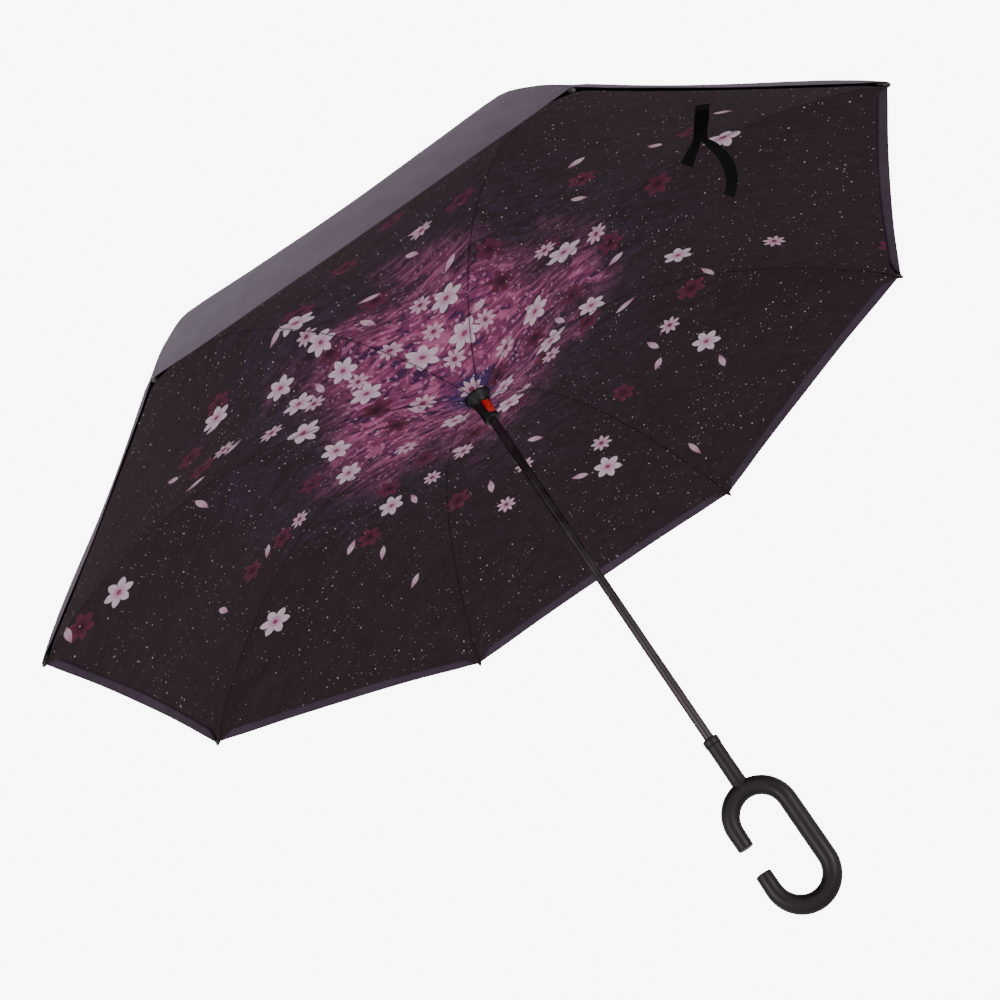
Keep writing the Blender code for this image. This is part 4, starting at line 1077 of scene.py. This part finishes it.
edit_all(grip)
extrude_up(LEG, 2)
bend(LOOP_HALF)
extrude_up(-2 * LOOP_HALF, 6)
bend(-LOOP_HALF)
extrude_up(LEG, 2)
deselect_all()
clean_normals(grip)
lows = [min(v.co[i] for v in grip.data.vertices) for i in range(3)]
highs = [max(v.co[i] for v in grip.data.vertices) for i in range(3)]
print("grip from", [round(c, 4) for c in lows], "to", [round(c, 4) for c in highs])


# %% Round the cut ends
def pick(piece, test):
    """In edit mode, selects exactly the faces that pass a test on (middle, normal)."""
    work = bmesh.from_edit_mesh(piece.data)
    for face in work.faces:
        face.select_set(False)
    for face in work.faces:
        if test(face.calc_center_median(), face.normal):
            face.select_set(True)
    bmesh.update_edit_mesh(piece.data)


END_BEVEL = 0.0012
activate(grip)
bpy.ops.object.mode_set(mode="EDIT")
bpy.ops.mesh.select_mode(type="FACE")
pick(grip, lambda middle, normal: abs(normal.z) > 0.99 and abs(middle.z) < LOOP_GAP / 2 + 0.0005
     and abs(middle.y) < 0.001 and abs(middle.x + LOOP_RADIUS) < 0.001)
bpy.ops.mesh.region_to_loop()
bpy.ops.mesh.bevel(offset=END_BEVEL, segments=4, affect="EDGES")
deselect_all()
print("faces of the grip:", len(grip.data.polygons))

# %% Swell the bar
GRIP_SWELL = 1.055
GRIP_END_SHARE = 0.92
SWELL_LENGTH = 0.050
PATH_LENGTH = 2 * LEG + 2 * LOOP_HALF + 2 * math.pi * LOOP_RADIUS


def on_path(place):
    """Nearest point of the bar's centre line and how far along it is from the upper cut end."""
    if abs(place.z) <= LOOP_HALF:
        centre = Vector((math.copysign(LOOP_RADIUS, place.x), 0.0, place.z))
        if place.x > 0:
            return centre, PATH_LENGTH / 2 - place.z
        from_cut = abs(place.z) - LOOP_GAP / 2
        return centre, from_cut if place.z > 0 else PATH_LENGTH - from_cut
    middle = Vector((0.0, 0.0, math.copysign(LOOP_HALF, place.z)))
    spoke = Vector((place.x, 0.0, place.z)) - middle
    bent = LOOP_RADIUS * math.atan2(spoke.x, abs(spoke.z)) + math.pi * LOOP_RADIUS / 2
    centre = middle + spoke.normalized() * LOOP_RADIUS
    return centre, LEG + bent if place.z > 0 else PATH_LENGTH - LEG - bent


for vertex in grip.data.vertices:
    centre, along = on_path(vertex.co)
    inner_part = smooth_step(min(along, PATH_LENGTH - along), 0.0, SWELL_LENGTH)
    swell = GRIP_END_SHARE + (GRIP_SWELL - GRIP_END_SHARE) * inner_part
    vertex.co = centre + (vertex.co - centre) * swell
settle(grip, 40.0)
wear(grip, GRIP)
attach(grip, "root")
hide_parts("c_handle")
print("length of the bar with its gap:", round(PATH_LENGTH, 3))


# %% Turned pieces
def turned(name, outline, steps):
    """Spins an outline of (radius, height) points about the shaft's axis into a closed piece."""
    mesh = bpy.data.meshes.new(name)
    mesh.from_pydata(
        [(r, 0.0, z) for r, z in outline], [(i, i + 1) for i in range(len(outline) - 1)], []
    )
    piece = add_object(name, mesh)
    edit_all(piece)
    bpy.ops.mesh.spin(
        steps=steps, angle=2 * math.pi, center=(0, 0, 0), axis=(0, 0, 1), use_auto_merge=True
    )
    deselect_all()
    clean_normals(piece)
    return piece


# %% Neck and collar
NECK_TOP = 0.1138
NECK_RADIUS = 0.0079
COLLAR_TOP = 0.1220
COLLAR_BOTTOM = 0.1141
COLLAR_RADIUS = 0.0085
SHAFT_HOLE = 0.0054
NECK_SIDES = 64
CREST = LOOP_HALF + LOOP_RADIUS
NECK_CURVE = [
    (SHAFT_HOLE, NECK_TOP), (NECK_RADIUS - 0.0003, NECK_TOP), (NECK_RADIUS, NECK_TOP - 0.0004),
    (NECK_RADIUS, CREST + 0.0180), (0.0080, CREST + 0.0120), (0.0082, CREST + 0.0085),
    (0.0087, CREST + 0.0060), (0.0092, CREST + 0.0020), (SHAFT_HOLE, CREST + 0.0020),
    (SHAFT_HOLE, NECK_TOP),
]
COLLAR_CURVE = [
    (SHAFT_HOLE, COLLAR_TOP - 0.0004), (0.0058, COLLAR_TOP), (COLLAR_RADIUS - 0.0006, COLLAR_TOP),
    (COLLAR_RADIUS - 0.0002, COLLAR_TOP - 0.0002), (COLLAR_RADIUS, COLLAR_TOP - 0.0006),
    (COLLAR_RADIUS, COLLAR_BOTTOM + 0.0006), (COLLAR_RADIUS - 0.0002, COLLAR_BOTTOM + 0.0002),
    (COLLAR_RADIUS - 0.0005, COLLAR_BOTTOM), (SHAFT_HOLE, COLLAR_BOTTOM),
    (SHAFT_HOLE, COLLAR_TOP - 0.0004),
]
for name, curve, smooth_degrees, node, slot in (
    ("grip_neck", NECK_CURVE, 35.0, "c_handle", "soft_grip"),
    ("neck_collar", COLLAR_CURVE, 30.0, "handle_collar", "black_plastic"),
):
    piece = turned(name, curve, NECK_SIDES)
    settle(piece, smooth_degrees)
    wear(piece, GRIP)
    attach(piece, "root")
    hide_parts(node)
print("neck up to", NECK_TOP, "and collar up to", COLLAR_TOP)

# %% [markdown]
# ## The bell of the runner
#
# What shows of the runner is a bell: a wide rim under the inner layer, a quick curve and a straight
# sleeve with a window for the button. It is an outline spun round the shaft. The window is cut with
# a box, because a cut keeps its corners crisp. The runner's solid stays inside it.

# %% Runner bell
BELL_TOP = 0.5835
BELL_BOTTOM = 0.5480
BELL_RIM = 0.0158
BELL_SLEEVE = 0.0094
BELL_CURVE = [
    (BELL_RIM - 0.0005, BELL_TOP), (BELL_RIM, BELL_TOP - 0.0005), (BELL_RIM, BELL_TOP - 0.0016),
    (0.0154, 0.5808), (0.0145, 0.5789), (0.0133, 0.5771), (0.0121, 0.5752), (0.0111, 0.5731),
    (0.0103, 0.5708), (0.0098, 0.5683), (0.0095, 0.5655), (BELL_SLEEVE, 0.5620),
    (BELL_SLEEVE, BELL_BOTTOM + 0.0009), (BELL_SLEEVE - 0.0003, BELL_BOTTOM + 0.0003),
    (BELL_SLEEVE - 0.0009, BELL_BOTTOM),
]
RUNNER_TUBE = 0.0083
RUNNER_FLARE = 0.0061
RUNNER_GAP = 0.00012
RIM_LIP = 0.0012
INNER_STEPS = 12
BELL_SIDES = 96
inner_curve = []
for i in range(INNER_STEPS + 1):
    share = i / INNER_STEPS
    radius = RUNNER_TUBE + RUNNER_FLARE * share**3 + RUNNER_GAP
    inner_curve.append((radius, BELL_BOTTOM + (BELL_TOP - RIM_LIP - BELL_BOTTOM) * share))
inner_curve.append((inner_curve[-1][0], BELL_TOP))
bell = turned("runner_bell", BELL_CURVE + inner_curve + [BELL_CURVE[0]], BELL_SIDES)
print("outline of the bell:", len(BELL_CURVE + inner_curve), "points")

# %% Window for the button
BUTTON_TURN = math.radians(-57)
WINDOW = (0.0120, 0.0092, 0.0172)
WINDOW_RADIUS = 0.0130
WINDOW_HEIGHT = 0.5620
WINDOW_PLACE = Vector((math.cos(BUTTON_TURN), math.sin(BUTTON_TURN), 0.0)) * WINDOW_RADIUS
WINDOW_PLACE.z = WINDOW_HEIGHT
deselect_all()
bpy.ops.mesh.primitive_cube_add(size=1.0, location=WINDOW_PLACE, rotation=(0.0, 0.0, BUTTON_TURN))
cutter = name_active("window_cutter")
cutter.scale = WINDOW
activate(cutter)
bpy.ops.object.transform_apply(location=True, rotation=True, scale=True)
apply_modifier(bell, "BOOLEAN", operation="DIFFERENCE", object=cutter, solver="EXACT")
bpy.data.objects.remove(cutter)
settle(bell, 32.0)
wear(bell, PLASTIC)
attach(bell, "runner")
print("faces of the bell:", len(bell.data.polygons))

# %% [markdown]
# ## The closing strap
#
# A patch is sewn under the inner layer; a black ribbon hangs off it and ends in two tails. The flat
# ribbon is laid out as rows of points, two halves side by side that part where the tails start, and
# is then softened and given its thickness.

# %% Strap measures
STRAP_RIB = 8
STRAP_TURN = math.radians(317.5)
STRAP_ROOT_RADIUS = 0.438
STRAP_THICKNESS = 0.0010
STRAP_PATCH = 0.0090
STRAP_GAP = 0.0006
STRAP_CURL = 0.0050
STRAP_ACROSS = Vector((0.436, 0.745, -0.505))
STRAP_DOWN = Vector((-0.634, -0.143, -0.760))
STRAP_BEHIND = STRAP_DOWN.cross(STRAP_ACROSS)
# rows of (across, down, width)
STRAP_TRUNK = [(0.0, 0.0055, 0.0140), (-0.0010, 0.0150, 0.0130), (-0.0020, 0.0280, 0.0120)]
STRAP_LEFT = [(-0.0060, 0.0355, 0.0085), (-0.0110, 0.0440, 0.0100), (-0.0140, 0.0530, 0.0120)]
STRAP_RIGHT = [
    (0.0060, 0.0315, 0.0080), (0.0165, 0.0380, 0.0100), (0.0240, 0.0480, 0.0120),
    (0.0275, 0.0590, 0.0120), (0.0285, 0.0700, 0.0110), (0.0250, 0.0810, 0.0100),
]
print("rows of the strap:", len(STRAP_TRUNK + STRAP_LEFT + STRAP_RIGHT))


# %% Places of the strap
def under_inner(x, y):
    """Height of the patch under the inner layer at a place in the strap's own frame."""
    off = math.atan2(y, x) + STRAP_TURN - rib_turn(STRAP_RIB)
    half = RIB_STEP / 2
    rib_radius = math.hypot(x, y) * math.cos(half - abs(off)) / math.cos(half)
    share = abs(off) / half
    place = cloth_point(LAYERS["inner"], rib_radius, share, math.copysign(1, off), STRAP_RIB)
    return place.z - (CLOTH + STRAP_THICKNESS) / 2 - STRAP_GAP


def strap_root(side, back):
    """A place of the patch that is sewn under the inner layer."""
    place = Vector((STRAP_ROOT_RADIUS, 0.0, 0.0)) + STRAP_ACROSS * side + STRAP_BEHIND * back
    place.z = under_inner(place.x, place.y)
    return place


def tail_row(rows, index):
    """Left and right edge of one row of a tail, square to the way the tail runs."""
    across, down, width = rows[index]
    before = rows[index - 1] if index else STRAP_TRUNK[-1]
    run = Vector((across - before[0], down - before[1])).normalized()
    return [
        (across - run.y * width / 2, down + run.x * width / 2),
        (across + run.y * width / 2, down - run.x * width / 2),
    ]


# %% Patch, trunk and tails
origin = strap_root(0.0, 0.0)
root_half = STRAP_TRUNK[0][2] / 2
places, flats, faces = [], [], []
for back in (STRAP_PATCH, 0.0):
    for side in (-root_half, 0.0, root_half):
        places.append(strap_root(side, back))
        flats.append((side, -back))
for across, down, width in STRAP_TRUNK:
    for side in (-width / 2, 0.0, width / 2):
        places.append(origin + STRAP_ACROSS * (across + side) + STRAP_DOWN * down)
        flats.append((side, down))
for row in range(len(STRAP_TRUNK) + 1):
    for column in range(2):
        first = row * 3 + column
        faces.append((first, first + 1, first + 4, first + 3))
last = len(places) - 3
tails = ((STRAP_LEFT, (last, last + 1), 1), (STRAP_RIGHT, (last + 1, last + 2), -1))
for rows, edge, sway in tails:
    for index in range(len(rows)):
        curl = STRAP_CURL * sway * math.sin((index + 1) / len(rows) * math.pi)
        for side, (across, down) in zip((-sway, 0), tail_row(rows, index)):
            places.append(origin + STRAP_ACROSS * across + STRAP_DOWN * down + STRAP_BEHIND * curl)
            flats.append((side * rows[index][2], down))
        fresh = (len(places) - 2, len(places) - 1)
        faces.append((edge[0], edge[1], fresh[1], fresh[0]))
        edge = fresh
mesh = bpy.data.meshes.new("closing_ribbon")
mesh.from_pydata(places, [], faces)
strap_map = mesh.uv_layers.new(name="seam")
for loop in mesh.loops:
    strap_map.data[loop.index].uv = flats[loop.vertex_index]
strap = add_object("closing_ribbon", mesh)
print("faces laid out for the strap:", len(faces))

# %% Soften and hang the strap
apply_modifier(strap, "SUBSURF", levels=3, render_levels=3, boundary_smooth="PRESERVE_CORNERS")
apply_modifier(strap, "SOLIDIFY", thickness=STRAP_THICKNESS, offset=0.0)
strap.data.transform(Matrix.Rotation(STRAP_TURN, 4, "Z"))
settle(strap, CLOTH_SMOOTH)
wear(strap, RIBBON)
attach(strap, "tip_8")
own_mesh(strap)
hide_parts("closing_strap")

# %% [markdown]
# ## Light and floor
#
# A pale floor and a white surround give the soft, even light of a product photograph. Two large
# area lights model the folds from the front, and one from above draws the crown's edge.

# %% Floor and surround
FLOOR_SIZE = 14.0
FLOOR_HEIGHT = -0.42
FLOOR_COLOUR = (0.82, 0.82, 0.82, 1.0)
LIGHT_STRENGTH = 0.55
SEEN_STRENGTH = 8.5
deselect_all()
bpy.ops.mesh.primitive_plane_add(size=FLOOR_SIZE, location=(0.0, 0.0, FLOOR_HEIGHT))
floor = name_active("floor")
floor_finish, tree, shader = new_finish("pale_floor", 0.9)
shader.inputs["Base Color"].default_value = FLOOR_COLOUR
wear(floor, floor_finish)

world = bpy.data.worlds.new("surround")
scene.world = world
world.use_nodes = True
tree = world.node_tree
back = tree.nodes["Background"]
seen = add_node(tree, "LightPath").outputs["Is Camera Ray"]
feed(tree, back.inputs["Strength"], ramp(tree, seen, 0.0, 1.0, LIGHT_STRENGTH, SEEN_STRENGTH))
back.inputs["Color"].default_value = (1.0, 1.0, 1.0, 1.0)
print("floor at", FLOOR_HEIGHT)


# %% Lights
def area_light(name, place, target, size, power):
    """A large soft light that faces a point."""
    data = bpy.data.lights.new(name, "AREA")
    data.shape = "DISK"
    data.size = size
    data.energy = power
    lamp = add_object(name, data)
    aim = (Vector(target) - Vector(place)).to_track_quat("-Z", "Y")
    lamp.matrix_world = Matrix.Translation(Vector(place)) @ aim.to_matrix().to_4x4()


area_light("front_left", (-1.9, -2.0, 0.4), (0, 0, 0.45), 1.2, 16.0)
area_light("front_right", (1.7, -1.8, 0.1), (0, 0, 0.35), 0.9, 14.0)
area_light("above", (-0.8, -0.6, 2.6), (0, 0, 0.6), 1.6, 20.0)
print("lights:", len(bpy.data.lights))

# %% [markdown]
# ## The solids that stay
#
# Ribs, stretchers, rib tips, notch, wires and button have the right shape in the frame already.
# They only need their finish, which goes into the material slots that they came with.


# %% Materials of the solids that stay
def dress(node, finish):
    """Gives a solid of the frame its material, through its slots."""
    for place in node.material_slots:
        place.material = finish


STAYS = {"rib_channel": BLACK_STEEL, "rib_rod": FIBRE, "rib_tip": TIP, "stretcher": BLACK_STEEL}
SINGLE = {
    "shaft_tube": SHAFT, "crown_cap": PLASTIC, "top_notch": PLASTIC, "notch_wire": ZINC,
    "runner": PLASTIC, "runner_wire": ZINC, "push_button": RED, "button_spring": ZINC,
    "c_handle": GRIP, "handle_collar": PLASTIC, "closing_strap": RIBBON,
}
for name, finish in SINGLE.items():
    dress(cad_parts[name], finish)
for name, finish in STAYS.items():
    for number in range(1, RIBS + 1):
        dress(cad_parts[f"{name}_{number}"], finish)
print("solids dressed:", len(SINGLE) + RIBS * len(STAYS))
